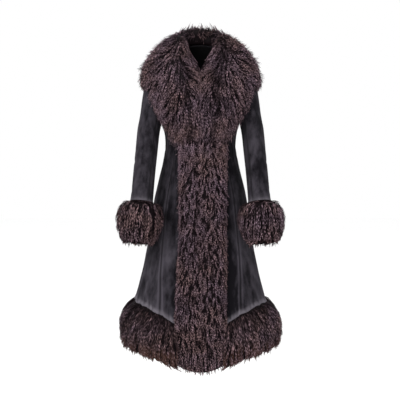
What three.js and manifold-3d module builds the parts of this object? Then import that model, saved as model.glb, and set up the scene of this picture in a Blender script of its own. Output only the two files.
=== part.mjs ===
// Long fitted suede coat, filled out with no wearer, with long curly fur on its collar, front, hem and cuffs.
// Millimetres, +Z up. The front faces -Y and the wearer's left side is +X. The origin is the middle of the
// coat at the height of the shoulder seams' neck ends, where the wearer's shoulders carry it.
import * as THREE from 'three';
import { mergeVertices } from 'three/addons/utils/BufferGeometryUtils.js';
import Module from 'manifold-3d';

const wasm = await Module();
wasm.setup();

// Driving sizes
const SUEDE_WALL = 2.0;          // thickness of the suede
const LINING_WALL = 1.0;         // thickness of the back-neck lining
const SEAM_GAP = 0.3;            // room between two pieces at a seam
const LYING_GAP = 1.4;           // room under a piece that lies on another one
const BAND_WIDTH = 87;           // each front fur strip, from the centre front to its side edge
const BAND_TOP = -318;           // where the strips start, under the collar's lower edge
const BAND_PILE = 37;            // how far the strips' fur stands out
const FUR_BOTTOM_SIDE = -1068;   // lowest fur at the side seams
const FUR_BOTTOM_DIP = 42;       // how much lower the fur hangs at the centre front
const COLLAR_LOCKS = 17;         // fur locks round half of the collar
const HEM_LOCKS = 18;            // fur locks round half of the hem
const CUFF_LOCKS = 13;           // fur locks round a cuff
const LOCK_RELIEF = 5;           // how far a lock stands out of the fur beside it
const LOCK_HANG = 0.012;         // share of the fur's depth that a lock hangs lower, for each mm of its relief
const UNDER_SLEEVE = 130;        // degrees from the sleeve's outer line to the under sleeve's seams
const CUFF_DEPTH = 142;          // from the suede's edge at the wrist to the lowest fur
const FUR_DIP_WIDTH = 22;        // half width of the fur's dip at the centre front, in degrees
const FRONT_DIP_WIDTH = 33;      // the same of the suede rings' dip
const NECK_VEE = 1.5;            // how sharply the neckline drops to its point
const ROLL_VEE = 1.23;           // the same of the collar's roll
const VEE_RINGS = 8;             // rings over which the V of the neckline gives way to the dip
const LAPEL_END = 67;            // degrees from the centre front where the lapel's lower edge starts to drop
const LAPEL_TURN = 47;           // degrees over which it drops
const COLLAR_HIDE_LIFT = 4;      // how far above the collar's lowest fur its hide ends
const BAND_HIDE = 0.94;          // share of a strip's width that its hide takes
const BAND_HIDE_LIFT = 6;        // how far above the strip's lowest fur its hide ends
const BAND_END_PILE = 0.72;      // share of the pile at a strip's ends
const BAND_CURL = 4;             // how far the strips' curls stand out
const BAND_FOOT_TURN = 24;       // degrees round the body at a strip's side edge, at its foot
const HEM_FUR_START = BAND_WIDTH + 3; // where the hem's fur starts, beside a strip
const FLARE_BELOW_HEM = 0.16;    // how much further out the fur's hide goes for each mm below the suede

const SUEDE = { color: 0x37343a, roughness: 0.95, metalness: 0 };
const FUR = { color: 0x40363b, roughness: 0.85, metalness: 0 };
const LINING = { color: 0x0f0e10, roughness: 0.7, metalness: 0 };

function table(columns, rows) {
  return rows.map((row) => Object.fromEntries(columns.map((name, i) => [name, row[i]])));
}

// Rings of the suede body from the neckline to the hem. zSide, zFront and zBack are a ring's heights,
// halfWidth, front and back its reach from the axis, square its superellipse power, and princess the
// angle in degrees between the centre front and the front's long seam. The back's mirrors it.
const BODY = table(
  ['zSide', 'zFront', 'zBack', 'halfWidth', 'front', 'back', 'square', 'princess'],
  [
    [0, -84, 14, 62, 80, 62, 2.0, 46],
    [-27, -106, -24, 118, 92, 84, 2.2, 46],
    [-60, -134, -62, 166, 104, 94, 2.4, 45],
    [-124, -166, -124, 166, 114, 100, 2.4, 44],
    [-198, -206, -198, 154, 119, 102, 2.2, 44],
    [-262, -256, -262, 140, 112, 96, 2.1, 45],
    [-296, -292, -296, 130, 104, 91, 2.0, 45],
    [-345, -345, -345, 126, 98, 88, 2.0, 45],
    [-405, -405, -405, 135, 100, 94, 2.0, 45],
    [-455, -455, -455, 147, 106, 104, 2.0, 45],
    [-530, -530, -530, 165, 117, 118, 2.0, 45],
    [-620, -620, -620, 178, 128, 133, 2.0, 45],
    [-706, -720, -706, 190, 146, 146, 2.0, 44],
    [-780, -815, -784, 203, 163, 159, 2.0, 42],
    [-842, -905, -852, 217, 178, 172, 2.0, 39],
    [-900, -985, -916, 232, 192, 186, 2.0, 37],
  ],
);
const HEM_RING = BODY.length - 1;

// Soft folds of the skirt: angle round the body, half width in degrees, how far each stands out at the
// hem, and the height where it starts.
const FOLDS = table(
  ['angle', 'width', 'out', 'top'],
  [
    [44, 6, 7, -420], [60, 5, 4, -560], [77, 7, 8, -470], [101, 6, 6, -520], [121, 8, 9, -440],
    [146, 6, 6, -540], [166, 7, 8, -450], [-43, 6, 8, -400], [-58, 5, 5, -600], [-74, 7, 6, -480],
    [-97, 7, 8, -500], [-118, 6, 6, -560], [-139, 8, 9, -430], [-163, 6, 6, -520],
  ],
);

// Outer surface of the collar's fur, from the neck seam over the roll to the lower edge.
const COLLAR = table(
  ['zSide', 'zFront', 'zBack', 'halfWidth', 'front', 'back'],
  [
    [2, -82, 16, 60, 78, 60],
    [32, -79, 50, 55, 90, 55],
    [58, -73, 80, 61, 108, 63],
    [64, -76, 87, 79, 128, 82],
    [50, -92, 65, 105, 146, 107],
    [27, -120, 28, 139, 156, 131],
    [-4, -160, -20, 172, 160, 148],
    [-42, -205, -68, 199, 160, 156],
    [-84, -250, -112, 212, 156, 153],
    [-122, -288, -138, 213, 148, 145],
    [-146, -314, -154, 204, 131, 129],
  ],
);
const COLLAR_EDGE = COLLAR.length - 1;

// Rings of a sleeve from inside the shoulder to the wrist, on the wearer's left: centre, half width
// across the arm and half depth from front to back.
const SLEEVE = table(
  ['x', 'y', 'z', 'halfWidth', 'halfDepth'],
  [
    [96, 4, -84, 36, 50],
    [126, 3, -88, 40, 56],
    [152, 1, -116, 41, 58],
    [165, -6, -176, 41, 57],
    [174, -18, -238, 40, 55],
    [184, -34, -296, 39.5, 52],
    [190, -56, -361, 39, 49],
    [196, -78, -427, 38.5, 46],
    [201, -98, -490, 38.5, 44],
    [205, -111, -536, 39.5, 44],
  ],
);
const WRIST_RING = SLEEVE.length - 1;

// Cross-section of the fur round a wrist or the hem: outward is the reach beyond the suede's outer face,
// inward that of the strip's inner face, and down the share of the fur's depth, 0 at the suede's edge.
const CUFF_SECTION = table(
  ['outward', 'down', 'inward', 'inwardDown'],
  [
    [0, 0, -2, 0], [16, -0.06, -2, 0.12], [31, -0.01, -2, 0.26], [41, 0.16, -1.5, 0.4], [45, 0.4, -1, 0.54],
    [44, 0.64, -0.5, 0.68], [37, 0.85, 0, 0.82], [24, 0.98, 2, 0.92], [9, 0.99, 6, 0.97],
  ],
);
const HEM_SECTION = table(
  ['outward', 'down', 'inward', 'inwardDown'],
  [
    [0, 0, -2, 0], [14, -0.04, -2, 0.12], [33, 0.08, -1, 0.26], [47, 0.28, 0, 0.4], [54, 0.5, 1, 0.54],
    [51, 0.72, 2, 0.68], [42, 0.9, 4, 0.82], [27, 0.99, 8, 0.92], [14, 0.98, 12, 0.96],
  ],
);

// Cross-section of a front strip from the centre front to its side edge: across is the share of its width,
// pile the share of its fur's depth, and curl how much its curls stand out there.
const BAND_SECTION = table(
  ['across', 'pile', 'curl'],
  [
    [0, 0.84, 0], [0.17, 0.96, 1], [0.36, 1, 1], [0.55, 0.97, 1], [0.73, 0.88, 1], [0.88, 0.68, 1],
    [0.98, 0.36, 0], [1, 0.02, 0],
  ],
);

const SOLVE_STEPS = 12;          // steps of Newton's method for a point at a known distance from the centre

const coat = new THREE.Group();
const radians = THREE.MathUtils.degToRad;
const clamp = THREE.MathUtils.clamp;
const lerp = THREE.MathUtils.lerp;

// Value of a table's column at a fractional row, smooth through the rows.
function smooth(rows, name, at) {
  const last = rows.length - 1;
  const i = clamp(Math.floor(at), 0, last - 1);
  const u = at - i;
  const before = rows[Math.max(i - 1, 0)][name];
  const from = rows[i][name];
  const to = rows[i + 1][name];
  const after = rows[Math.min(i + 2, last)][name];
  const leave = (to - before) / 2;
  const reach = (after - from) / 2;
  const u2 = u * u;
  const u3 = u2 * u;
  return (2 * u3 - 3 * u2 + 1) * from + (u3 - 2 * u2 + u) * leave + (3 * u2 - 2 * u3) * to + (u3 - u2) * reach;
}

// Height of a ring at an angle. share is how much of the front's height counts there.
function ringHeight(rows, at, angle, share) {
  const side = smooth(rows, 'zSide', at);
  const front = smooth(rows, 'zFront', at);
  const back = smooth(rows, 'zBack', at);
  const c = Math.cos(radians(angle));
  return c > 0 ? lerp(side, front, share) : lerp(side, back, c * c);
}

// The front's share at the neckline follows a V, and further down a soft dip.
function bodyShare(at, angle) {
  const s = Math.abs(Math.sin(radians(angle)));
  const vee = (1 - s) ** NECK_VEE;
  const dip = Math.exp(-((angle / FRONT_DIP_WIDTH) ** 2)) * Math.sqrt(Math.cos(radians(angle)));
  return lerp(vee, dip, clamp(at / VEE_RINGS, 0, 1));
}

function foldOut(angle, z) {
  return FOLDS.reduce((sum, fold) => {
    const down = clamp((fold.top - z) / (fold.top - BODY[HEM_RING].zSide), 0, 1.1);
    return sum + fold.out * down ** 1.5 * Math.exp(-(((angle - fold.angle) / fold.width) ** 2));
  }, 0);
}

function power(value, square) {
  return Math.sign(value) * Math.abs(value) ** (2 / square);
}

// Point of the suede body's outer face, at a ring and an angle from the centre front.
function bodyFace(at, angle) {
  const c = Math.cos(radians(angle));
  const s = Math.sin(radians(angle));
  const square = smooth(BODY, 'square', at);
  const depth = smooth(BODY, c > 0 ? 'front' : 'back', at);
  const z = ringHeight(BODY, at, angle, c > 0 ? bodyShare(at, Math.abs(angle)) : 0);
  const out = 1 + foldOut(angle, z) / Math.max(depth, 1);
  const halfWidth = smooth(BODY, 'halfWidth', at);
  return new THREE.Vector3(halfWidth * power(s, square) * out, -depth * power(c, square) * out, z);
}

// Point of a face moved out along its normal, which is worked out from nearby points.
function movedOut(face, at, turn, distance) {
  const step = 0.02;
  const turnStep = 0.4;
  const along = face(at + step, turn).sub(face(at - step, turn));
  const round = face(at, turn + turnStep).sub(face(at, turn - turnStep));
  const normal = along.cross(round).normalize();
  return face(at, turn).addScaledVector(normal, distance);
}

// Point of the body's outer face moved out, with the outermost rings shifted from their neighbours.
function bodyAt(at, angle, out) {
  const edge = 0.03;
  const inside = clamp(at, edge, HEM_RING - edge);
  const shift = bodyFace(at, angle).sub(bodyFace(inside, angle));
  return movedOut(bodyFace, inside, angle, out).add(shift);
}

// Degrees of a ring that a length in millimetres takes.
function turnFor(at, angle, length) {
  const near = bodyFace(at, angle - 0.5).distanceTo(bodyFace(at, angle + 0.5));
  return length / Math.max(near, 0.01);
}

// Closed solid between two grids of points, outer[row][column] and inner[row][column]. With wrap the last
// column joins the first.
function between(outer, inner, wrap = false) {
  const rows = outer.length;
  const columns = outer[0].length;
  const points = [...outer.flat(), ...inner.flat()];
  const faces = [];
  const quad = (a, b, c, d) => faces.push(a, b, c, a, c, d);
  const o = (i, j) => i * columns + (j % columns);
  const n = (i, j) => rows * columns + o(i, j);
  const steps = wrap ? columns : columns - 1;
  for (let j = 0; j < steps; j += 1) {
    for (let i = 0; i < rows - 1; i += 1) {
      quad(o(i, j), o(i + 1, j), o(i + 1, j + 1), o(i, j + 1));
      quad(n(i, j), n(i, j + 1), n(i + 1, j + 1), n(i + 1, j));
    }
    quad(o(0, j), o(0, j + 1), n(0, j + 1), n(0, j));
    quad(o(rows - 1, j), n(rows - 1, j), n(rows - 1, j + 1), o(rows - 1, j + 1));
  }
  if (!wrap) {
    for (let i = 0; i < rows - 1; i += 1) {
      quad(o(i, 0), n(i, 0), n(i + 1, 0), o(i + 1, 0));
      quad(o(i, steps), o(i + 1, steps), n(i + 1, steps), n(i, steps));
    }
  }
  return solid(points, faces);
}

// Closed solid through whole rings, with a flat fan over both ends.
function filled(rings) {
  const columns = rings[0].length;
  const middle = (ring) => ring.reduce((sum, p) => sum.add(p), new THREE.Vector3()).divideScalar(columns);
  const points = [...rings.flat(), middle(rings[0]), middle(rings[rings.length - 1])];
  const faces = [];
  for (let j = 0; j < columns; j += 1) {
    const k = (j + 1) % columns;
    for (let i = 0; i < rings.length - 1; i += 1) {
      const a = i * columns;
      const b = a + columns;
      faces.push(a + j, b + j, b + k, a + j, b + k, a + k);
    }
    const end = (rings.length - 1) * columns;
    faces.push(points.length - 2, j, k);
    faces.push(points.length - 1, end + k, end + j);
  }
  return solid(points, faces);
}

// A merged geometry with its faces pointing out.
function solid(points, faces) {
  const volume = faces.reduce((sum, _, f) => {
    if (f % 3) return sum;
    const [a, b, c] = [points[faces[f]], points[faces[f + 1]], points[faces[f + 2]]];
    return sum + a.dot(b.clone().cross(c));
  }, 0);
  const turned = volume < 0 ? faces.map((_, f) => faces[f - (f % 3) + [0, 2, 1][f % 3]]) : faces;
  const geometry = new THREE.BufferGeometry();
  const positions = points.flatMap((p) => [p.x, p.y, p.z]);
  geometry.setAttribute('position', new THREE.Float32BufferAttribute(positions, 3));
  geometry.setIndex(turned);
  return mergeVertices(geometry, 1e-3);
}

function toManifold(geometry) {
  const mesh = new wasm.Mesh({
    numProp: 3,
    vertProperties: new Float32Array(geometry.attributes.position.array),
    triVerts: new Uint32Array(geometry.index.array),
  });
  return new wasm.Manifold(mesh);
}

// The largest piece that is left of a geometry after others are cut out of it.
function cutBy(geometry, cutters) {
  const whole = cutters.reduce((rest, cutter) => rest.subtract(cutter), toManifold(geometry));
  const largest = whole.decompose().reduce((a, b) => (b.volume() > a.volume() ? b : a));
  const mesh = largest.getMesh();
  const cut = new THREE.BufferGeometry();
  cut.setAttribute('position', new THREE.BufferAttribute(new Float32Array(mesh.vertProperties), 3));
  cut.setIndex([...mesh.triVerts]);
  return mergeVertices(cut, 1e-3);
}

function mirrored(geometry) {
  const copy = geometry.clone();
  const position = copy.attributes.position;
  for (let i = 0; i < position.count; i += 1) position.setX(i, -position.getX(i));
  const index = copy.index.array;
  copy.setIndex([...index].map((_, f) => index[f - (f % 3) + [0, 2, 1][f % 3]]));
  return copy;
}

function add(name, geometry, look) {
  const mesh = new THREE.Mesh(geometry, new THREE.MeshStandardMaterial(look));
  mesh.name = name;
  coat.add(mesh);
}

function range(count, make) {
  return Array.from({ length: count }, (_, i) => make(i, count > 1 ? i / (count - 1) : 0));
}

// Sleeves

// Point of a sleeve's outer face. turn is measured from the arm's outer line, towards the front.
function sleeveFace(at, turn) {
  const centre = (t) => new THREE.Vector3(...['x', 'y', 'z'].map((name) => smooth(SLEEVE, name, t)));
  const step = 0.05;
  const here = clamp(at, step, WRIST_RING - step);
  const down = centre(here + step).sub(centre(here - step)).normalize();
  const across = new THREE.Vector3(-down.z, 0, down.x).normalize();
  const forward = down.clone().cross(across).normalize();
  if (forward.y > 0) forward.negate();
  const halfWidth = smooth(SLEEVE, 'halfWidth', at);
  const halfDepth = smooth(SLEEVE, 'halfDepth', at);
  return centre(at)
    .addScaledVector(across, halfWidth * Math.cos(radians(turn)))
    .addScaledVector(forward, halfDepth * Math.sin(radians(turn)));
}

// Point of the sleeve's face moved out from its centre line.
function sleeveAt(at, turn, out) {
  const face = sleeveFace(at, turn);
  const opposite = sleeveFace(at, turn + 180);
  const centre = face.clone().add(opposite).divideScalar(2);
  const normal = face.clone().sub(centre).normalize();
  return face.addScaledVector(normal, out);
}

const SLEEVE_ROWS = 12;
const UPPER_SLEEVE_STEPS = 12;
const UNDER_SLEEVE_STEPS = 5;

function sleevePart(from, to, steps) {
  const grid = (out) =>
    range(SLEEVE_ROWS, (_, share) => {
      const at = share * WRIST_RING;
      const trim = THREE.MathUtils.radToDeg(SEAM_GAP / 2 / smooth(SLEEVE, 'halfWidth', at));
      return range(steps + 1, (_j, u) => sleeveAt(at, lerp(from + trim, to - trim, u), out));
    });
  return between(grid(0), grid(-SUEDE_WALL));
}

// The whole space that a sleeve takes, on the same columns as its two pieces.
function sleeveSpace(out) {
  const turns = [
    ...range(UPPER_SLEEVE_STEPS + 1, (_, u) => lerp(-UNDER_SLEEVE, UNDER_SLEEVE, u)),
    ...range(UNDER_SLEEVE_STEPS + 1, (_, u) => lerp(UNDER_SLEEVE, 360 - UNDER_SLEEVE, u)).slice(1, -1),
  ];
  return filled(range(SLEEVE_ROWS, (_, share) => turns.map((turn) => sleeveAt(share * WRIST_RING, turn, out))));
}

// Suede body

const BODY_ROWS = 17;
const frontSeam = (at) => smooth(BODY, 'princess', at);
const backSeam = (at) => 180 - frontSeam(at);
const BODY_PIECES = [
  { name: 'front', from: () => 0, to: frontSeam, steps: 5 },
  { name: 'side_front', from: frontSeam, to: () => 90, steps: 6 },
  { name: 'side_back', from: () => 90, to: backSeam, steps: 7 },
  { name: 'back', from: backSeam, to: () => 180, steps: 6 },
];
const ringOfRow = (row) => (row * HEM_RING) / (BODY_ROWS - 1);

function bodyPanel(piece, sign) {
  const grid = (out) =>
    range(BODY_ROWS, (row) => {
      const at = ringOfRow(row);
      const from = piece.from(at) + turnFor(at, piece.from(at), SEAM_GAP / 2);
      const to = piece.to(at) - turnFor(at, piece.to(at), SEAM_GAP / 2);
      return range(piece.steps + 1, (_j, u) => bodyAt(at, sign * lerp(from, to, u), out));
    });
  return between(grid(0), grid(-SUEDE_WALL));
}

// The space inside the upper body's outer face, on the same rows and columns as its pieces.
function upperBodySpace(out) {
  const rows = 11;
  return filled(range(rows, (row) => {
    const at = ringOfRow(row);
    const half = BODY_PIECES.flatMap((piece) =>
      range(piece.steps, (j) => lerp(piece.from(at), piece.to(at), j / piece.steps)));
    const whole = [...half, 180, ...half.slice(1).reverse().map((angle) => -angle)];
    return whole.map((angle) => bodyAt(at, angle, out));
  }));
}

const sleeveRoom = sleeveSpace(SEAM_GAP);
const leftSleeveRoom = toManifold(sleeveRoom);
const rightSleeveRoom = toManifold(mirrored(sleeveRoom));
const leftSleeveLying = toManifold(sleeveSpace(LYING_GAP));
const bodyRoom = toManifold(upperBodySpace(SEAM_GAP));

for (const [side, sign] of [['left', 1], ['right', -1]]) {
  const room = sign > 0 ? leftSleeveRoom : rightSleeveRoom;
  for (const piece of BODY_PIECES) {
    add(`${piece.name}_${side}`, cutBy(bodyPanel(piece, sign), [room]), SUEDE);
  }
}

const upperSleeve = cutBy(sleevePart(-UNDER_SLEEVE, UNDER_SLEEVE, UPPER_SLEEVE_STEPS), [bodyRoom]);
const underSleeve = cutBy(sleevePart(UNDER_SLEEVE, 360 - UNDER_SLEEVE, UNDER_SLEEVE_STEPS), [bodyRoom]);
add('sleeve_left_upper', upperSleeve, SUEDE);
add('sleeve_left_under', underSleeve, SUEDE);
add('sleeve_right_upper', mirrored(upperSleeve), SUEDE);
add('sleeve_right_under', mirrored(underSleeve), SUEDE);

// Back-neck lining, made from the back's points moved in

function neckLining() {
  const lowestRow = 3;
  const reach = 62;
  const columns = 19;
  const grid = (out) =>
    range(lowestRow + 1, (row) => range(columns, (_j, u) => {
      const fromBack = reach * (2 * u - 1);
      return bodyAt(ringOfRow(row), fromBack < 0 ? -180 - fromBack : 180 - fromBack, out);
    }));
  const inner = -SUEDE_WALL - LYING_GAP;
  return between(grid(inner), grid(inner - LINING_WALL));
}
add('back_neck_lining', neckLining(), LINING);

// Fur

// How far a lock, one in every two columns, stands out or hangs down, uneven from lock to lock.
function lock(column) {
  const uneven = 0.75 + 0.25 * Math.sin(column * 2.39);
  return (column % 2 ? 1 : -1) * uneven;
}

// Half of the collar, from the centre front to the centre back.
function collarHalf() {
  const columns = 2 * COLLAR_LOCKS + 1;
  const edgeShare = (angle) => Math.sin((Math.PI / 2) * clamp((LAPEL_END - angle) / LAPEL_TURN, 0, 1));
  const veeShare = (row, angle) => (1 - Math.sin(radians(angle))) ** (row === 0 ? NECK_VEE : ROLL_VEE);
  const outerPoint = (row, j, angle) => {
    const c = Math.cos(radians(angle));
    const share = lerp(veeShare(row, angle), edgeShare(angle), row / COLLAR_EDGE);
    const z = ringHeight(COLLAR, row, angle, share);
    const depth = COLLAR[row][c > 0 ? 'front' : 'back'];
    const plainRows = 4;
    const away = clamp(row / plainRows, 0, 1) * clamp(j, 0, 1) * clamp(columns - 1 - j, 0, 1);
    const out = lock(j) * LOCK_RELIEF * away;
    const hang = row === COLLAR_EDGE ? lock(j) * LOCK_RELIEF : 0;
    const x = (COLLAR[row].halfWidth + out) * Math.sin(radians(angle));
    return new THREE.Vector3(x + SEAM_GAP / 2, -(depth + out) * c, z - hang);
  };
  const underPoint = (row, angle, edge) => {
    const at = ringAtHeight(edge.z + COLLAR_HIDE_LIFT, angle);
    const point = bodyAt((at * row) / COLLAR_EDGE, angle, LYING_GAP);
    const lift = row === 0 ? LYING_GAP : 0;
    return new THREE.Vector3(Math.max(point.x, 0) + SEAM_GAP / 2, point.y, point.z + lift);
  };
  const angleOf = (j) => (180 * j) / (columns - 1);
  const outer = range(COLLAR_EDGE + 1, (row) => range(columns, (j) => outerPoint(row, j, angleOf(j))));
  const inner = range(COLLAR_EDGE + 1, (row) =>
    range(columns, (j) => underPoint(row, angleOf(j), outer[COLLAR_EDGE][j])));
  return between(outer, inner);
}
const leftCollar = cutBy(collarHalf(), [leftSleeveLying]);
add('collar_left', leftCollar, FUR);
add('collar_right', mirrored(leftCollar), FUR);

// Height of the fur's lower edge at an angle.
function furBottom(angle) {
  return FUR_BOTTOM_SIDE - FUR_BOTTOM_DIP * Math.exp(-((angle / FUR_DIP_WIDTH) ** 2));
}

// Ring where the body's face is at a height.
function ringAtHeight(z, angle) {
  let low = 0;
  let high = HEM_RING;
  for (let i = 0; i < 30; i += 1) {
    const middle = (low + high) / 2;
    if (bodyFace(middle, angle).z > z) low = middle;
    else high = middle;
  }
  return (low + high) / 2;
}

// Point of the body's face at a height, moved out, and carried straight on below the hem.
function bodyAtHeight(z, angle, out) {
  const at = ringAtHeight(z, angle);
  const point = bodyAt(at, angle, out);
  const below = Math.max(point.z - z, 0);
  const away = new THREE.Vector3(Math.sin(radians(angle)), -Math.cos(radians(angle)), 0);
  return at > HEM_RING - 0.01 ? point.addScaledVector(away, below * FLARE_BELOW_HEM).setZ(z) : point;
}

// One front strip of fur, from the collar to below the hem.
function frontBand(sign) {
  const rows = 27;
  const grid = (outside) =>
    range(rows, (i, down) => {
      const ends = clamp(Math.min(i, rows - 1 - i) / 2, 0, 1);
      return BAND_SECTION.map((row, j) => {
        const wave = Math.sin(i * 2.1 + j * 1.7) * Math.sin(i * 0.9 - j * 2.3);
        const curl = wave * row.curl * BAND_CURL * ends;
        const pile = outside ? BAND_PILE * row.pile * lerp(BAND_END_PILE, 1, ends) + curl : 0;
        const x = BAND_WIDTH * row.across * (outside ? 1 : BAND_HIDE);
        const foot = furBottom(BAND_FOOT_TURN * row.across) + BAND_HIDE_LIFT * (outside ? 1 : 2);
        const z = lerp(BAND_TOP - 2, foot, down);
        let angle = 0;
        for (let step = 0; step < SOLVE_STEPS; step += 1) {
          const here = bodyAtHeight(z, sign * angle, LYING_GAP).x * sign;
          const wide = bodyAtHeight(z, sign * (angle + 1), LYING_GAP).x * sign - here;
          angle = clamp(angle + (x - here) / wide, 0, 70);
        }
        const point = bodyAtHeight(z, sign * angle, LYING_GAP + pile);
        return point.setX(sign * (Math.max(point.x * sign, 0) + SEAM_GAP / 2));
      });
    });
  return between(grid(true), grid(false));
}
add('front_band_left', frontBand(1), FUR);
add('front_band_right', frontBand(-1), FUR);

// Half of the hem's fur, from a front strip's edge to the centre back.
function hemHalf(sign) {
  const columns = 2 * HEM_LOCKS + 1;
  const point = (j, out, share) => {
    const place = (angle) => {
      const edge = bodyFace(HEM_RING, angle).z - 2 * LYING_GAP;
      return bodyAtHeight(lerp(edge, furBottom(angle), share), angle, out);
    };
    let first = BAND_FOOT_TURN;
    for (let step = 0; step < SOLVE_STEPS; step += 1) {
      const here = place(sign * first).x * sign;
      first += (HEM_FUR_START - here) / (place(sign * (first + 1)).x * sign - here);
    }
    const spot = place(sign * lerp(first, 180, j / (columns - 1)));
    return spot.setX(sign * (Math.max(spot.x * sign, 0) + SEAM_GAP / 2));
  };
  const outer = HEM_SECTION.map((row, i) => range(columns, (j) => {
    const relief = i > 0 && j > 0 && j < columns - 1 ? lock(j) * LOCK_RELIEF : 0;
    const hang = i > HEM_SECTION.length - 3 ? relief * LOCK_HANG : 0;
    return point(j, row.outward + relief, row.down + hang);
  }));
  const inner = HEM_SECTION.map((row) => range(columns, (j) => point(j, row.inward, row.inwardDown)));
  return between(outer, inner);
}
add('hem_fur_left', hemHalf(1), FUR);
add('hem_fur_right', hemHalf(-1), FUR);

// Fur round a wrist.
function cuff() {
  const columns = 2 * CUFF_LOCKS;
  const centre = (at) => sleeveFace(at, 0).add(sleeveFace(at, 180)).divideScalar(2);
  const down = centre(WRIST_RING).sub(centre(WRIST_RING - 0.5)).normalize();
  const point = (j, out, share) =>
    sleeveAt(WRIST_RING, (360 * j) / columns, out).addScaledVector(down, share * CUFF_DEPTH + LYING_GAP);
  const outer = CUFF_SECTION.map((row, i) => range(columns, (j) => {
    const relief = i > 1 ? lock(j) * LOCK_RELIEF : 0;
    const hang = i > CUFF_SECTION.length - 3 ? relief * LOCK_HANG : 0;
    return point(j, row.outward + relief, row.down + hang);
  }));
  const inner = CUFF_SECTION.map((row) => range(columns, (j) => point(j, row.inward, row.inwardDown)));
  return between(outer, inner, true);
}
const leftCuff = cuff();
add('cuff_left', leftCuff, FUR);
add('cuff_right', mirrored(leftCuff), FUR);

export default coat;
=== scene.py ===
"""Dresses a packed suede coat: napped suede, long curly fur, a back-neck lining and a plain studio.

Forms are worked out in millimetres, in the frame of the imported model, and meshes are written in metres. The
coat's front faces -Y and its wearer's left is +X. Angles are in degrees round the body from the centre front.
"""

import logging
import math
from collections.abc import Callable
from dataclasses import dataclass, replace
from enum import Enum

import bpy
import numpy as np
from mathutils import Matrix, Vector


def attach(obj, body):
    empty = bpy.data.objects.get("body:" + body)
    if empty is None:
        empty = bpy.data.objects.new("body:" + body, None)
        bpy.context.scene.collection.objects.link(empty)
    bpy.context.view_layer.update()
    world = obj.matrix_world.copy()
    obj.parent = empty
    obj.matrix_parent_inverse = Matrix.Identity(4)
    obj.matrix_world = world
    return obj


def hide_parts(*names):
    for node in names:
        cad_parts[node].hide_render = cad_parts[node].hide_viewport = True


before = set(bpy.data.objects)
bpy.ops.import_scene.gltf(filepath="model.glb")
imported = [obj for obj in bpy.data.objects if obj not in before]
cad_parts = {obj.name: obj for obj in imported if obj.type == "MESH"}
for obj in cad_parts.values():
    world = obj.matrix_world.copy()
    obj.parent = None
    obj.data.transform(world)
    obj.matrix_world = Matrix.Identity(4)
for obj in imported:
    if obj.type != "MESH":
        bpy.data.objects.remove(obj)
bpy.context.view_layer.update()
LOG = logging.getLogger("coat")

MM = 0.001
SUEDE_WALL = 2.0
LYING_GAP = 1.4
ARMHOLE_GAP = 0.3
SEAM_SLIT = 0.002
BAND_WIDTH = 87.0
BAND_TOP = -320.0
BAND_PILE = 37.0
FUR_BOTTOM_SIDE = -1063.0
FUR_BOTTOM_DIP = 53.0
FUR_BOTTOM_SPREAD = 31.0
CUFF_DEPTH = 142.0
UNDER_SLEEVE = 130.0
COLLAR_FRONT_END = 67.0
HALVINGS = 22
NEWTON_STEPS = 9
FRINGE_LOCKS = 0.22

Array = np.ndarray
Colour = tuple[float, float, float, float]
MIRROR = np.array([-1.0, 1.0, 1.0])


def cosd(angle: Array) -> Array:
    """Cosine of an angle in degrees."""
    return np.cos(np.radians(angle))


def sind(angle: Array) -> Array:
    """Sine of an angle in degrees."""
    return np.sin(np.radians(angle))


def lerp(start: Array, stop: Array, share: Array) -> Array:
    """Value a share of the way from start to stop."""
    return start + (stop - start) * share


def unit(vectors: Array) -> Array:
    """Vectors of length one, along the last axis."""
    return vectors / np.maximum(np.linalg.norm(vectors, axis=-1, keepdims=True), 1e-9)


def power(value: Array, square: Array) -> Array:
    """Superellipse term: the value's size to the power 2 / square, with its sign."""
    return np.sign(value) * np.abs(value) ** (2 / square)


def bell(distance: Array) -> Array:
    """Bell curve: e to the power of minus the distance squared."""
    return np.exp(-(distance**2))


class Table:
    """Rows of numbers with named columns, read at whole or fractional rows."""

    def __init__(self, columns: str, *rows: tuple[float, ...]) -> None:
        """Keeps the rows under the names in columns, which spaces part."""
        self.names = columns.split()
        self.values = np.array(rows, float)
        self.last = len(rows) - 1

    def column(self, name: str) -> Array:
        """All of one column."""
        return self.values[:, self.names.index(name)]

    def at(self, name: str, row: Array) -> Array:
        """A column at fractional rows, on the Catmull-Rom cubic through its values.

        Args:
            name: The column.
            row: Row numbers, of any shape.

        Returns:
            Values of the same shape.
        """
        column = self.column(name)
        row = np.asarray(row, float)
        i = np.clip(np.floor(row).astype(int), 0, self.last - 1)
        u = row - i
        start, stop = column[i], column[i + 1]
        leave = (stop - column[np.maximum(i - 1, 0)]) / 2
        reach = (column[np.minimum(i + 2, self.last)] - start) / 2
        ends = ((2 * u - 3) * u * u + 1) * start + (3 - 2 * u) * u * u * stop
        return ends + ((u - 2) * u + 1) * u * leave + (u - 1) * u * u * reach

    def line(self, name: str, by: str, value: Array) -> Array:
        """A column at a value of another column, straight between the rows."""
        return np.interp(value, self.column(by), self.column(name))


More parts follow.
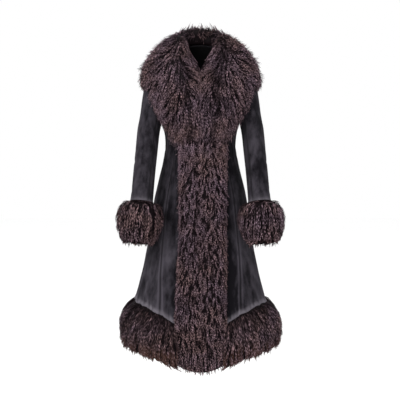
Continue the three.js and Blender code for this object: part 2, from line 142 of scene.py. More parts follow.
BODY_RINGS = Table(
    "zSide zFront zBack halfWidth front back square princess",
    (0, -84, 14, 62, 80, 62, 2.0, 46),
    (-27, -106, -24, 118, 92, 84, 2.2, 46),
    (-60, -134, -62, 166, 104, 94, 2.4, 45),
    (-124, -166, -124, 166, 114, 100, 2.4, 44),
    (-198, -206, -198, 154, 119, 102, 2.2, 44),
    (-262, -256, -262, 140, 112, 96, 2.1, 45),
    (-296, -292, -296, 130, 104, 91, 2.0, 45),
    (-345, -345, -345, 126, 98, 88, 2.0, 45),
    (-405, -405, -405, 135, 100, 94, 2.0, 45),
    (-455, -455, -455, 147, 106, 104, 2.0, 45),
    (-530, -530, -530, 165, 117, 118, 2.0, 45),
    (-620, -620, -620, 178, 128, 133, 2.0, 45),
    (-706, -720, -706, 190, 146, 146, 2.0, 44),
    (-780, -815, -784, 203, 163, 159, 2.0, 42),
    (-842, -905, -852, 217, 178, 172, 2.0, 39),
    (-900, -985, -916, 232, 192, 186, 2.0, 37),
)
FOLDS = Table(
    "angle width out top",
    (44, 6, 7, -420), (60, 5, 4, -560), (77, 7, 8, -470), (101, 6, 6, -520), (121, 8, 9, -440),
    (146, 6, 6, -540), (166, 7, 8, -450), (-43, 6, 8, -400), (-58, 5, 5, -600), (-74, 7, 6, -480),
    (-97, 7, 8, -500), (-118, 6, 6, -560), (-139, 8, 9, -430), (-163, 6, 6, -520),
)
COLLAR_RINGS = Table(
    "zSide zFront zBack halfWidth front back",
    (2, -82, 16, 60, 78, 60),
    (32, -79, 50, 55, 90, 55),
    (58, -73, 80, 61, 108, 63),
    (64, -76, 87, 79, 128, 82),
    (50, -92, 65, 105, 146, 107),
    (27, -120, 28, 139, 156, 131),
    (-4, -160, -20, 172, 160, 148),
    (-42, -205, -68, 199, 160, 156),
    (-84, -250, -112, 212, 156, 153),
    (-122, -288, -138, 213, 148, 145),
    (-146, -314, -154, 204, 131, 129),
)
SLEEVE_RINGS = Table(
    "x y z halfWidth halfDepth",
    (96, 4, -84, 36, 50),
    (126, 3, -88, 40, 56),
    (152, 1, -116, 41, 58),
    (165, -6, -176, 41, 57),
    (174, -18, -238, 40, 55),
    (184, -34, -296, 39.5, 52),
    (190, -56, -361, 39, 49),
    (196, -78, -427, 38.5, 46),
    (201, -98, -490, 38.5, 44),
    (205, -111, -536, 39.5, 44),
)


def ring_height(table: Table, at: Array, angle: Array, share: Array) -> Array:
    """Height of a ring: between its side and its front or back height.

    Args:
        table: Rings with zSide, zFront and zBack.
        at: Fractional rows.
        angle: Angles round the body.
        share: How much of the front's height counts. The back's counts by the cosine squared.

    Returns:
        Heights.
    """
    side, front, back = (table.at(name, at) for name in ("zSide", "zFront", "zBack"))
    c = cosd(angle)
    return np.where(c > 0, lerp(side, front, share), lerp(side, back, c * c))


def moved_out(face: Callable[[Array, Array], Array], at: Array, turn: Array, distance: Array) -> Array:
    """Points of a face moved along its normal, the cross product of its two slopes."""
    step, round_step = 0.02, 0.4
    along = face(at + step, turn) - face(at - step, turn)
    across = face(at, turn + round_step) - face(at, turn - round_step)
    normal = unit(np.cross(along, across))
    return face(at, turn) + normal * np.broadcast_to(distance, normal.shape[:-1])[..., None]


class BodyForm:
    """Outer face of the suede body, as rings from the neckline to the hem."""

    hem = BODY_RINGS.last
    flare = 0.16
    turn_steps = 3

    def fold_out(self, angle: Array, z: Array) -> Array:
        """How far the skirt's soft folds stand out: a sum of bells that grow down to the hem."""
        total = np.zeros(np.broadcast(angle, z).shape)
        bottom = BODY_RINGS.column("zSide")[-1]
        for middle, width, out, top in FOLDS.values:
            down = np.clip((top - z) / (top - bottom), 0, 1.1)
            total = total + out * down**1.5 * bell((angle - middle) / width)
        return total

    def face(self, at: Array, angle: Array) -> Array:
        """Points of the face: a superellipse of each ring, with the folds' reach added."""
        at, angle = np.broadcast_arrays(np.asarray(at, float), np.asarray(angle, float))
        c, s = cosd(angle), sind(angle)
        vee = (1 - np.abs(s)) ** 1.5
        dip = bell(angle / 33) * np.sqrt(np.maximum(c, 0))
        z = ring_height(BODY_RINGS, at, angle, lerp(vee, dip, np.clip(at / 8, 0, 1)))
        square = BODY_RINGS.at("square", at)
        depth = np.where(c > 0, BODY_RINGS.at("front", at), BODY_RINGS.at("back", at))
        out = 1 + self.fold_out(angle, z) / depth
        x = BODY_RINGS.at("halfWidth", at) * power(s, square) * out
        return np.stack([x, -depth * power(c, square) * out, z], -1)

    def at(self, at: Array, angle: Array, out: Array) -> Array:
        """Points of the face moved out, with the rings past either end shifted from the nearest."""
        inside = np.clip(at, 0.03, self.hem - 0.03)
        return moved_out(self.face, inside, angle, out) + self.face(at, angle) - self.face(inside, angle)

    def ring_at(self, z: Array, angle: Array) -> Array:
        """Ring at a height, found by halving."""
        z, angle = np.broadcast_arrays(np.asarray(z, float), np.asarray(angle, float))
        low, high = np.zeros(z.shape), np.full(z.shape, float(self.hem))
        for _ in range(HALVINGS):
            middle = (low + high) / 2
            above = self.face(middle, angle)[..., 2] > z
            low, high = np.where(above, middle, low), np.where(above, high, middle)
        return (low + high) / 2

    def at_height(self, z: Array, angle: Array, out: Array) -> Array:
        """Points of the face at a height, moved out, and carried straight on below the hem."""
        at = self.ring_at(z, angle)
        point = self.at(at, angle, out)
        below = np.maximum(point[..., 2] - z, 0)
        under = at > self.hem - 0.01
        slope = self.flare * np.where(under, below, 0)
        point = point + np.stack([sind(angle) * slope, -cosd(angle) * slope, 0 * slope], -1)
        point[..., 2] = np.where(under, z, point[..., 2])
        return point

    def outside(self, point: Array) -> Array:
        """How far points lie outside the face, from their share of the superellipse at their height."""
        x, y, z = np.moveaxis(point, -1, 0)
        angle = np.degrees(np.arctan2(x, -y))
        for _ in range(self.turn_steps):
            at = self.ring_at(z, angle)
            square = BODY_RINGS.at("square", at)
            depth = np.where(y < 0, BODY_RINGS.at("front", at), BODY_RINGS.at("back", at))
            wide, deep = x / BODY_RINGS.at("halfWidth", at), y / depth
            size = (np.abs(wide) ** square + np.abs(deep) ** square) ** (1 / square)
            share = np.clip(np.abs(wide) / np.maximum(size, 1e-6), 0, 1) ** (square / 2)
            turn = np.degrees(np.arcsin(share))
            angle = np.sign(x) * np.where(y < 0, turn, 180 - turn)
        return (size - 1) * depth


class SleeveForm:
    """Outer face of the wearer's left sleeve, as rings from inside the shoulder to the wrist."""

    wrist = SLEEVE_RINGS.last
    looks = 120

    def centre(self, at: Array) -> Array:
        """Points of the centre line."""
        return np.stack([SLEEVE_RINGS.at(name, at) for name in "xyz"], -1)

    def axes(self, at: Array) -> tuple[Array, Array, Array]:
        """Directions down the arm, across it away from the body, and to the front."""
        here = np.clip(at, 0.05, self.wrist - 0.05)
        down = unit(self.centre(here + 0.05) - self.centre(here - 0.05))
        across = unit(np.stack([-down[..., 2], 0 * down[..., 0], down[..., 0]], -1))
        forward = unit(np.cross(down, across))
        return down, across, np.where(forward[..., 1:2] > 0, -forward, forward)

    def at(self, at: Array, turn: Array, out: Array) -> Array:
        """Points of the ellipse round the centre line, moved away from it."""
        at, turn = np.broadcast_arrays(np.asarray(at, float), np.asarray(turn, float))
        _, across, forward = self.axes(at)
        wide = (SLEEVE_RINGS.at("halfWidth", at) * cosd(turn))[..., None]
        deep = (SLEEVE_RINGS.at("halfDepth", at) * sind(turn))[..., None]
        spoke = across * wide + forward * deep
        return self.centre(at) + spoke + unit(spoke) * np.broadcast_to(out, at.shape)[..., None]

    def outside(self, point: Array) -> Array:
        """How far points lie outside the sleeve, by their share of the nearest ring's ellipse."""
        rings = np.linspace(0, self.wrist, self.looks)
        centres = self.centre(rings)
        flat = point.reshape(-1, 3)
        nearest = np.concatenate([
            np.argmin(((part[:, None] - centres) ** 2).sum(-1), 1)
            for part in np.array_split(flat, len(flat) // 4000 + 1)
        ])
        at = rings[nearest]
        _, across, forward = self.axes(at)
        away = flat - centres[nearest]
        wide, deep = SLEEVE_RINGS.at("halfWidth", at), SLEEVE_RINGS.at("halfDepth", at)
        size = np.hypot((away * across).sum(-1) / wide, (away * forward).sum(-1) / deep)
        return ((size - 1) * (wide + deep) / 2).reshape(point.shape[:-1])


BODY = BodyForm()
SLEEVE = SleeveForm()


def grid(rows: Array, columns: Array) -> tuple[Array, Array]:
    """Row and column numbers of every point of a grid."""
    return np.meshgrid(rows, columns, indexing="ij")


@dataclass
class Skin:
    """Points in millimetres, faces of three and four points, and a colour for each point."""

    points: Array
    quads: Array
    triangles: Array
    shade: Array

    def joined(self, other: "Skin") -> "Skin":
        """This skin and another one as one."""
        shift = len(self.points)
        return Skin(
            np.concatenate([self.points, other.points]),
            np.concatenate([self.quads, other.quads + shift]),
            np.concatenate([self.triangles, other.triangles + shift]),
            np.concatenate([self.shade, other.shade]),
        )

    def mirrored(self) -> "Skin":
        """The same skin on the other side of the centre."""
        return Skin(self.points * MIRROR, self.quads[:, ::-1], self.triangles[:, ::-1], self.shade)

    def facing_out(self) -> "Skin":
        """The skin with its faces turned, if its volume comes out below zero."""
        corners = np.concatenate([self.quads[:, :3], self.quads[:, [0, 2, 3]], self.triangles])
        a, b, c = (self.points[corners[:, k]] for k in range(3))
        if (a * np.cross(b, c)).sum() > 0:
            return self
        return Skin(self.points, self.quads[:, ::-1], self.triangles[:, ::-1], self.shade)


def wall(outer: Array, inner: Array, shade: Array, keep: Array | None = None, wrap: bool = False) -> Skin:
    """Closed wall between two grids of points, with a rim along every edge that it has.

    Args:
        outer: Points of shape (rows, columns, 3).
        inner: Points of the same shape.
        shade: Colours of shape (rows, columns, 4).
        keep: Which cells are built, of shape (rows - 1, columns - 1), or None for all.
        wrap: Whether the last column joins the first one.

    Returns:
        The wall, with its faces pointing out.
    """
    rows, columns = outer.shape[:2]
    number = np.arange(rows * columns).reshape(rows, columns)
    if wrap:
        number = np.concatenate([number, number[:, :1]], 1)
    cells = np.stack([number[:-1, :-1], number[1:, :-1], number[1:, 1:], number[:-1, 1:]], -1)
    cells = cells.reshape(-1, 4) if keep is None else cells[keep]
    edges = np.concatenate([cells[:, [k, (k + 1) % 4]] for k in range(4)])
    key = np.sort(edges, axis=1) @ np.array([rows * columns, 1])
    _, first, uses = np.unique(key, return_index=True, return_counts=True)
    rim = edges[first[uses == 1]]
    shift = rows * columns
    faces = [cells, cells[:, ::-1] + shift]
    faces.append(np.stack([rim[:, 1], rim[:, 0], rim[:, 0] + shift, rim[:, 1] + shift], -1))
    points = np.concatenate([outer.reshape(-1, 3), inner.reshape(-1, 3)])
    quads = np.concatenate(faces)
    used, quads = np.unique(quads, return_inverse=True)
    colours = np.concatenate([shade.reshape(-1, 4)] * 2)[used]
    return Skin(points[used], quads.reshape(-1, 4), np.zeros((0, 3), int), colours).facing_out()


def cut_along(points: list[Array], clear: Array) -> Array:
    """Moves the grid points just past an edge onto it, and says which cells are left.

    A point with clear below zero that has a neighbour above zero slides towards that neighbour, to where
    clear is zero on the straight line between them.

    Args:
        points: Grids of shape (rows, columns, 3) that are changed in place.
        clear: Distance inside the part that is kept, of shape (rows, columns).

    Returns:
        Which cells are kept, of shape (rows - 1, columns - 1).
    """
    inside = clear > 0
    moved = [grid_points.copy() for grid_points in points]
    best = np.zeros(clear.shape)
    rows, columns = clear.shape
    for down, side in ((0, 1), (0, -1), (1, 0), (-1, 0), (1, 1), (1, -1), (-1, 1), (-1, -1)):
        i = np.clip(np.arange(rows) + down, 0, rows - 1)[:, None]
        j = np.clip(np.arange(columns) + side, 0, columns - 1)[None, :]
        straight = 1.0 if down == 0 or side == 0 else 0.01
        better = ~inside & inside[i, j] & (clear[i, j] * straight > best)
        share = (-clear / np.maximum(clear[i, j] - clear, 1e-9))[..., None]
        for target, source in zip(moved, points, strict=True):
            target[better] = lerp(source, source[i, j], share)[better]
        best = np.where(better, clear[i, j] * straight, best)
    for target, source in zip(points, moved, strict=True):
        target[:] = source
    return inside[:-1, :-1] | inside[1:, :-1] | inside[1:, 1:] | inside[:-1, 1:]


class Operation(Enum):
    """Names of Math nodes' operations."""

    ADD = "ADD"
    SUBTRACT = "SUBTRACT"
    MULTIPLY = "MULTIPLY"
    POWER = "POWER"
    MAXIMUM = "MAXIMUM"
    MINIMUM = "MINIMUM"
    SINE = "SINE"


class Value:
    """A socket or number of a material, with Python's operators as Math nodes."""

    def __init__(self, graph: "Graph", source: "bpy.types.NodeSocket | float") -> None:
        """Keeps the graph that the nodes go into and the socket."""
        self.graph, self.source = graph, source

    def _with(self, operation: Operation, one: "Value | float", two: "Value | float") -> "Value":
        """A Math node of two values."""
        node = self.graph.node("ShaderNodeMath", {"operation": operation.value}, {0: one, 1: two})
        return Value(self.graph, node.outputs[0])

    def __add__(self, other: "Value | float") -> "Value":
        """Sum."""
        return self._with(Operation.ADD, self, other)

    __radd__ = __add__

    def __mul__(self, other: "Value | float") -> "Value":
        """Product."""
        return self._with(Operation.MULTIPLY, self, other)

    __rmul__ = __mul__

    def __sub__(self, other: "Value | float") -> "Value":
        """Difference."""
        return self._with(Operation.SUBTRACT, self, other)

    def __rsub__(self, other: "Value | float") -> "Value":
        """Difference from a number."""
        return self._with(Operation.SUBTRACT, other, self)

    def __pow__(self, other: float) -> "Value":
        """Power."""
        return self._with(Operation.POWER, self, other)

    def sine(self) -> "Value":
        """Sine of the value in radians."""
        return self._with(Operation.SINE, self, 0.0)

    def clamped(self) -> "Value":
        """The value held between 0 and 1."""
        return self._with(Operation.MINIMUM, self._with(Operation.MAXIMUM, self, 0.0), 1.0)


class Graph:
    """Nodes of one material."""

    def __init__(self, name: str) -> None:
        """Starts an empty material."""
        self.material = bpy.data.materials.new(name)
        self.material.use_nodes = True
        self.tree = self.material.node_tree
        self.tree.nodes.clear()

    def node(self, kind: str, settings: dict | None = None, inputs: dict | None = None) -> bpy.types.Node:
        """Adds a node.

        Args:
            kind: The node's type.
            settings: Its properties, set first.
            inputs: A value, number, colour or socket for each input's name or number.

        Returns:
            The node.
        """
        made = self.tree.nodes.new(kind)
        for key, value in (settings or {}).items():
            setattr(made, key, value)
        for key, value in (inputs or {}).items():
            source = value.source if isinstance(value, Value) else value
            if isinstance(source, bpy.types.NodeSocket):
                self.tree.links.new(source, made.inputs[key])
            else:
                made.inputs[key].default_value = source
        return made

    def noise(self, scale: float, detail: float, stretch: tuple[float, float, float] = (1, 1, 1)) -> Value:
        """Noise on Object coordinates, as many cells a metre as scale says, stretched along the axes."""
        place = self.node("ShaderNodeTexCoord").outputs["Object"]
        mapped = self.node("ShaderNodeMapping", {}, {"Vector": place, "Scale": stretch})
        inputs = {"Vector": mapped.outputs[0], "Scale": scale, "Detail": detail, "Roughness": 0.6}
        return Value(self, self.node("ShaderNodeTexNoise", {}, inputs).outputs["Fac"])

    def shade(self, name: str) -> tuple[Value, Value, Value, Value]:
        """The four channels of a colour attribute."""
        attribute = self.node("ShaderNodeAttribute", {"attribute_name": name})
        parts = self.node("ShaderNodeSeparateColor", {}, {"Color": attribute.outputs["Color"]})
        return (*(Value(self, parts.outputs[k]) for k in range(3)), Value(self, attribute.outputs["Alpha"]))

    def mix(self, share: Value, one: object, two: object) -> bpy.types.NodeSocket:
        """A colour between two, by a share from 0 to 1."""
        made = self.node("ShaderNodeMix", {"data_type": "RGBA"}, {0: share, 6: one, 7: two})
        return made.outputs[2]

    def bump(self, height: Value, distance: float, strength: float) -> bpy.types.NodeSocket:
        """A normal from a height, in metres."""
        settings = {"Height": height, "Distance": distance, "Strength": strength}
        return self.node("ShaderNodeBump", {}, settings).outputs[0]

    def finish(self, inputs: dict) -> bpy.types.Material:
        """Ends the material in a Principled shader with these inputs."""
        shader = self.node("ShaderNodeBsdfPrincipled", {}, inputs)
        self.node("ShaderNodeOutputMaterial", {}, {"Surface": shader.outputs[0]})
        return self.material


@dataclass(frozen=True)
class SuedeFinish:
    """Napped suede: mottled brush marks, pale raw edges, darker seams, and painted highlights and painted shade from
    the shade's channels.
    """

    dark: Colour = (0.0050, 0.0045, 0.0058, 1)
    light: Colour = (0.046, 0.041, 0.050, 1)
    edge: Colour = (0.14, 0.127, 0.146, 1)
    # Dark seam lines; on the body it also paints shade along the neck edge.
    seam: Colour = (0.005, 0.0045, 0.0055, 1)
    sheen: Colour = (0.85, 0.82, 0.9, 1)

    def material(self) -> bpy.types.Material:
        """Mixes dark and light by brushed patches, grain and the shade's channels: pale edge, dark seam with painted
        shade at the neck edge, and the brushed tone with painted highlights and shadow.
        """
        graph = Graph("suede")
        edge, seam, nap_and_painted_light, _ = graph.shade("shade")
        patches = graph.noise(9, 4, (1, 1, 0.35))
        strokes = graph.noise(46, 5, (1, 1, 0.45))
        grain = graph.noise(900, 3)
        # The third channel brings painted highlights and painted shadow into the tone.
        tone = (patches - 0.5) * 2.0 + (strokes - 0.5) * 1.8 + (grain - 0.5) * 0.9 + nap_and_painted_light * 0.9
        colour = graph.mix(tone.clamped(), self.dark, self.light)
        # Darker along the seams, and painted shade along the body's neck edge.
        darker = graph.mix((seam * 0.8).clamped(), colour, self.seam)
        pale = graph.mix((edge * (strokes * 1.3 + 0.2)).clamped(), darker, self.edge)
        height = grain * 0.7 + strokes * 0.6
        return graph.finish({
            "Base Color": pale, "Roughness": 0.95, "Specular IOR Level": 0.03, "IOR": 1.3,
            "Sheen Weight": 0.05, "Sheen Roughness": 0.45, "Sheen Tint": self.sheen,
            "Normal": graph.bump(height, 0.0006, 0.55),
        })


@dataclass(frozen=True)
class FurFinish:
    """Long dyed hair with painted light: painted shade at the root and painted glints along the lock, as highlights
    on its waves, uneven from lock to lock.
    """

    # The dark end, used as painted shade at the roots, in the partings and on the underfur.
    dark: Colour = (0.0040, 0.0024, 0.0030, 1)
    mauve: Colour = (0.41, 0.280, 0.350, 1)
    brown: Colour = (0.44, 0.278, 0.282, 1)
    warm: Colour = (0.095, 0.042, 0.024, 1)
    gain: float = 0.62

    def material(self) -> bpy.types.Material:
        """Mixes dark and light by the shade's channels: lock, along, warmth and the phase of the painted glints."""
        graph = Graph("fur")
        lock, along, warmth, glint_phase = graph.shade("shade")
        patches = graph.noise(11, 3)
        strands = graph.noise(600, 2, (1, 1, 0.4))
        # Painted highlights: glints along each lock.
        wave = (glint_phase * (2 * math.pi)).sine() * 0.5 + 0.5
        # Painted shade: dark at the root, deep in the pile.
        body = ((along * 2.0).clamped() + 0.04) * (lock ** 2.6 * 2.1 + 0.03)
        tone = body * (wave ** 2 * 1.9 + 0.13) * (strands * 1.1 + 0.45) * (patches * 0.8 + 0.6) * self.gain
        light = graph.mix(((patches - 0.5) * 4 + 0.5).clamped(), self.mauve, self.brown)
        colour = graph.mix(tone.clamped(), self.dark, light)
        tinted = graph.mix((warmth * (along ** 1.5) * 0.8).clamped(), colour, self.warm)
        return graph.finish({
            "Base Color": tinted, "Roughness": 0.45, "Specular IOR Level": 0.06, "IOR": 1.3,
        })


@dataclass(frozen=True)
class LiningFinish:
    """Smooth dark lining cloth."""

    colour: Colour = (0.0045, 0.0043, 0.0047, 1)
    thread: Colour = (0.007, 0.0065, 0.007, 1)
    bands: float = 260.0

    def material(self) -> bpy.types.Material:
        """Mixes two near blacks by a fine twill of waves."""
        graph = Graph("lining")
        place = graph.node("ShaderNodeTexCoord").outputs["Object"]
        inputs = {"Vector": place, "Scale": self.bands}
        wave = graph.node("ShaderNodeTexWave", {"bands_direction": "DIAGONAL"}, inputs)
        twill = Value(graph, wave.outputs["Fac"])
        colour = graph.mix((twill * 0.8).clamped(), self.colour, self.thread)
        return graph.finish({
            "Base Color": colour, "Roughness": 0.7, "Specular IOR Level": 0.03, "IOR": 1.3,
            "Normal": graph.bump(twill, 0.0002, 0.3),
        })


@dataclass(frozen=True)
class FloorFinish:
    """Matt white studio paper."""

    white: Colour = (0.98, 0.98, 0.98, 1)
    shaded: Colour = (0.96, 0.96, 0.96, 1)

    def material(self) -> bpy.types.Material:
        """White with a trace of mottling."""
        graph = Graph("studio_paper")
        colour = graph.mix(graph.noise(2, 1), self.shaded, self.white)
        return graph.finish({"Base Color": colour, "Roughness": 0.95, "Specular IOR Level": 0.1})


def write_piece(name: str, skin: Skin, material: bpy.types.Material) -> bpy.types.Object:
    """Puts a skin into a new mesh object, in metres, with its shade as a colour attribute."""
    mesh = bpy.data.meshes.new(name)
    loops = np.concatenate([skin.quads.ravel(), skin.triangles.ravel()])
    sizes = np.concatenate([np.full(len(skin.quads), 4), np.full(len(skin.triangles), 3)])
    starts = np.concatenate([[0], np.cumsum(sizes)[:-1]])
    mesh.vertices.add(len(skin.points))
    mesh.vertices.foreach_set("co", (skin.points * MM).astype(np.float32).ravel())
    mesh.loops.add(len(loops))
    mesh.loops.foreach_set("vertex_index", loops.astype(np.int32))
    mesh.polygons.add(len(sizes))
    mesh.polygons.foreach_set("loop_start", starts.astype(np.int32))
    mesh.polygons.foreach_set("use_smooth", np.ones(len(sizes), bool))
    mesh.update(calc_edges=True)
    shade = mesh.color_attributes.new(name="shade", type="FLOAT_COLOR", domain="POINT")
    shade.data.foreach_set("color", skin.shade.astype(np.float32).ravel())
    mesh.materials.append(material)
    piece = bpy.data.objects.new(name, mesh)
    bpy.context.scene.collection.objects.link(piece)
    LOG.info("%s: %d triangles", name, 2 * len(skin.quads) + len(skin.triangles))
    return piece


def shade_of(one: Array, two: Array, three: Array, four: Array | float = 1.0) -> Array:
    """Colours of shape (..., 4) from four channels."""
    return np.stack(np.broadcast_arrays(one, two, three, four), -1).astype(float)


def dress(name: str, node: str, slot: str, skin: Skin, material: bpy.types.Material) -> bpy.types.Object:
    """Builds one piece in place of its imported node."""
    piece = write_piece(name, skin, material)
    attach(piece, "root")
    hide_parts(node)
    return piece


def to_edges(face: Array) -> tuple[Array, Array]:
    """How far a piece's points lie from its nearer seam, along its rows, and from its last row."""
    width = np.linalg.norm(np.diff(face, axis=1), axis=-1)
    run = np.concatenate([np.zeros((len(face), 1)), np.cumsum(width, axis=1)], 1)
    return np.minimum(run, run[:, -1:] - run), np.linalg.norm(face - face[-1:], axis=-1)


def crease(across: Array, up: Array, length: float, width: float, out: float, tilt: float) -> Array:
    """How far one crease stands out: a bell across a short slanting line, which fades out along it."""
    along = across * math.cos(tilt) + up * math.sin(tilt)
    aside = up * math.cos(tilt) - across * math.sin(tilt)
    return out * bell(along / length) * bell(aside / width)


@dataclass
class ClothCut:
    """One cut piece of suede or lining, between two seam lines."""

    name: str
    node: str
    slot: str
    outer: Array
    inner: Array
    shade: Array
    keep: Array | None

    def flat_size(self) -> tuple[tuple[float, float], float]:
        """Greatest width and length along the cloth and its area, in metres, before anything is trimmed."""
        across = np.linalg.norm(np.diff(self.outer, axis=1), axis=-1).sum(1).max() * MM
        along = np.linalg.norm(np.diff(self.outer, axis=0), axis=-1).sum(0).max() * MM
        a, b = np.diff(self.outer, axis=0)[:, :-1], np.diff(self.outer, axis=1)[:-1]
        cells = np.linalg.norm(np.cross(a, b), axis=-1)
        area = (cells if self.keep is None else cells * self.keep).sum() * MM * MM
        return (float(across), float(along)), float(area)

    def build(self, material: bpy.types.Material) -> None:
        skin = wall(self.outer, self.inner, self.shade, self.keep)
        piece = dress(self.name, self.node, self.slot, skin, material)
        flat, area = self.flat_size()
        LOG.info("%s: cut from %.3f by %.3f m, %.4f square metres", self.name, *flat, area)


def suede_cut(node: str, outer: Array, inner: Array, shade: Array, keep: Array) -> ClothCut:
    """The suede piece of a node."""
    return ClothCut(f"{node}_suede", node, "suede", outer, inner, shade, keep)


@dataclass
class SuedeBody:
    """The eight suede pieces of the body, each with seam edges that roll in and soft creases."""

    rows: int = 84
    roll: float = 1.1
    roll_width: float = 3.0
    lip: float = 2.4
    lip_width: float = 6.0
    ripple: float = 0.5
    per_degree: float = 2.1
    creases: Table = Table(
        "angle z length width out tilt",
        (62, -330, 34, 5, -1.8, 0.30), (-60, -318, 40, 5, -1.6, -0.35), (70, -372, 44, 6, -1.7, -0.25),
        (-71, -366, 36, 5, -1.9, 0.3), (98, -345, 50, 6, -2.0, 0.22), (-101, -352, 46, 6, -1.8, -0.2),
        (118, -322, 40, 5, -1.6, -0.3), (-122, -330, 44, 5, -1.7, 0.28), (150, -360, 60, 7, -1.8, 0.12),
        (-146, -350, 56, 7, -1.8, -0.12), (66, -250, 46, 7, 1.5, 0.7), (-66, -246, 44, 7, 1.5, -0.7),
        (112, -248, 60, 7, 1.6, -0.6), (-112, -252, 56, 7, 1.6, 0.6),
    )

    def front_seam(self, at: Array) -> Array:
        """Angle of the front's long seam at a ring."""
        return BODY_RINGS.at("princess", at)

    def back_seam(self, at: Array) -> Array:
        """Angle of the back's long seam, which mirrors the front's."""
        return 180 - self.front_seam(at)

    def crease_out(self, angle: Array, z: Array) -> Array:
        """Sum of the creases, with degrees turned to millimetres at the waist."""
        total = 0.0
        for middle, height, *sizes in self.creases.values:
            total = total + crease((angle - middle) * self.per_degree, z - height, *sizes)
        return total

    def nap_and_painted_light(self, sign: int, angle: Array, face: Array, to_seam: Array) -> Array:
        """Lightness of the suede's brushed tone with painted light, from 0.

        It is a slow wave of tone, plus painted highlights on the folds and on the wearer's right side, less a painted
        shadow strip beside the front fur, plus painted highlights in soft streaks down the skirt and in a broken
        light line beside the skirt's seams.

        Args:
            sign: 1 on the wearer's left and -1 on the right.
            angle: Angles round the body.
            face: Points of the plain face.
            to_seam: Distances from the nearer seam.

        Returns:
            Lightness at each point.
        """
        x, y, z = np.moveaxis(face, -1, 0)
        # Painted highlights on the folds and on the right side, on a slow wave of tone.
        nap_and_painted_light = BODY.fold_out(angle, z) * 0.05 + 0.12 * np.sin(z / 90 + angle / 17) + 0.35 - 0.1 * sign
        # Painted shadow in a strip beside the front fur.
        beside = np.clip((119 + 7 * sign - np.abs(x)) / 26, 0, 1) * (y < 0)
        nap_and_painted_light = nap_and_painted_light - 0.36 * beside * np.clip((-330 - z) / 100, 0, 1)
        # Painted highlights in soft streaks down the skirt.
        rib_highlights = np.clip((-330 - z) / 80, 0, 1) * np.clip((z + 860) / 260, 0, 1)
        nap_and_painted_light = nap_and_painted_light + rib_highlights * (0.08 + 0.2 * np.sin(angle / 2.6 + z / 130) * np.sin(z / 57 - angle / 9))
        # Painted highlight in a broken light line beside the skirt's seams.
        broken = 1 + 0.5 * np.sin(z / 11 + 2 * np.sin(z / 29)) * np.sin(z / 41)
        return nap_and_painted_light + 0.75 * broken * bell((to_seam - 5) / 4) * np.clip((-430 - z) / 160, 0, 1)

    def cut(self, node: str, sign: int, edges: tuple[Callable, Callable], columns: int) -> ClothCut:
        """One piece between two seam angles, cut away round the armhole.

        Args:
            node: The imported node's name.
            sign: 1 on the wearer's left and -1 on the right.
            edges: Functions of the ring that give the two seams' angles.
            columns: Points across.

        Returns:
            The piece, ready to build.
        """
        share = np.linspace(0, 1, self.rows)
        at, across = grid(share * BODY.hem, np.linspace(0, 1, columns))
        low, high = (edge(at) for edge in edges)
        length = np.linalg.norm(BODY.face(at, low + 0.5) - BODY.face(at, low - 0.5), axis=-1)
        trim = SEAM_SLIT / 2 / np.maximum(length, 0.1)
        angle = sign * lerp(low + trim, high - trim, across)
        waved = 0.07 + 0.045 * np.sin(angle * 0.62 + 1) + 0.025 * np.sin(angle * 1.7)
        at = at + waved * np.clip(at - BODY.hem + 1, 0, 1) ** 3
        face = BODY.face(at, angle)
        to_seam, to_hem = to_edges(face)
        roll = -self.roll * bell(to_seam / self.roll_width)
        z = face[..., 2]
        ripple = self.ripple * np.sin(z / 21 + angle / 4.1) * np.sin(angle / 6.3 - z / 53)
        lip = self.lip * bell(to_hem / self.lip_width) + 0.9 * bell(to_hem / 9) * np.sin(angle * 1.9)
        out = roll + self.crease_out(angle, z) + ripple + lip
        outer = BODY.at(at, angle, out)
        inner = BODY.at(at, angle, out - SUEDE_WALL)
        mirror = np.array([sign, 1.0, 1.0])
        keep = cut_along([outer, inner], SLEEVE.outside(outer * mirror) - ARMHOLE_GAP)
        edge = bell(to_hem / (11 + 3 * np.sin(angle * 0.9) + 2 * np.sin(angle * 2.3)))
        # Dark seam lines, and painted shade along the neck edge.
        seam = np.maximum(bell(to_seam / 1.5), bell(np.linalg.norm(face - face[:1], axis=-1) / 8))
        return suede_cut(node, outer, inner, shade_of(edge, seam, self.nap_and_painted_light(sign, angle, face, to_seam)), keep)

    def build(self, material: bpy.types.Material) -> None:
        """Builds front, side front, side back and back on both sides."""
        pieces = (
            ("front", (lambda at: 0 * at, self.front_seam), 26),
            ("side_front", (self.front_seam, lambda at: 90 + 0 * at), 30),
            ("side_back", (lambda at: 90 + 0 * at, self.back_seam), 30),
            ("back", (self.back_seam, lambda at: 180 + 0 * at), 26),
        )
        for side, sign in (("left", 1), ("right", -1)):
            for name, edges, columns in pieces:
                self.cut(f"{name}_{side}", sign, edges, columns).build(material)


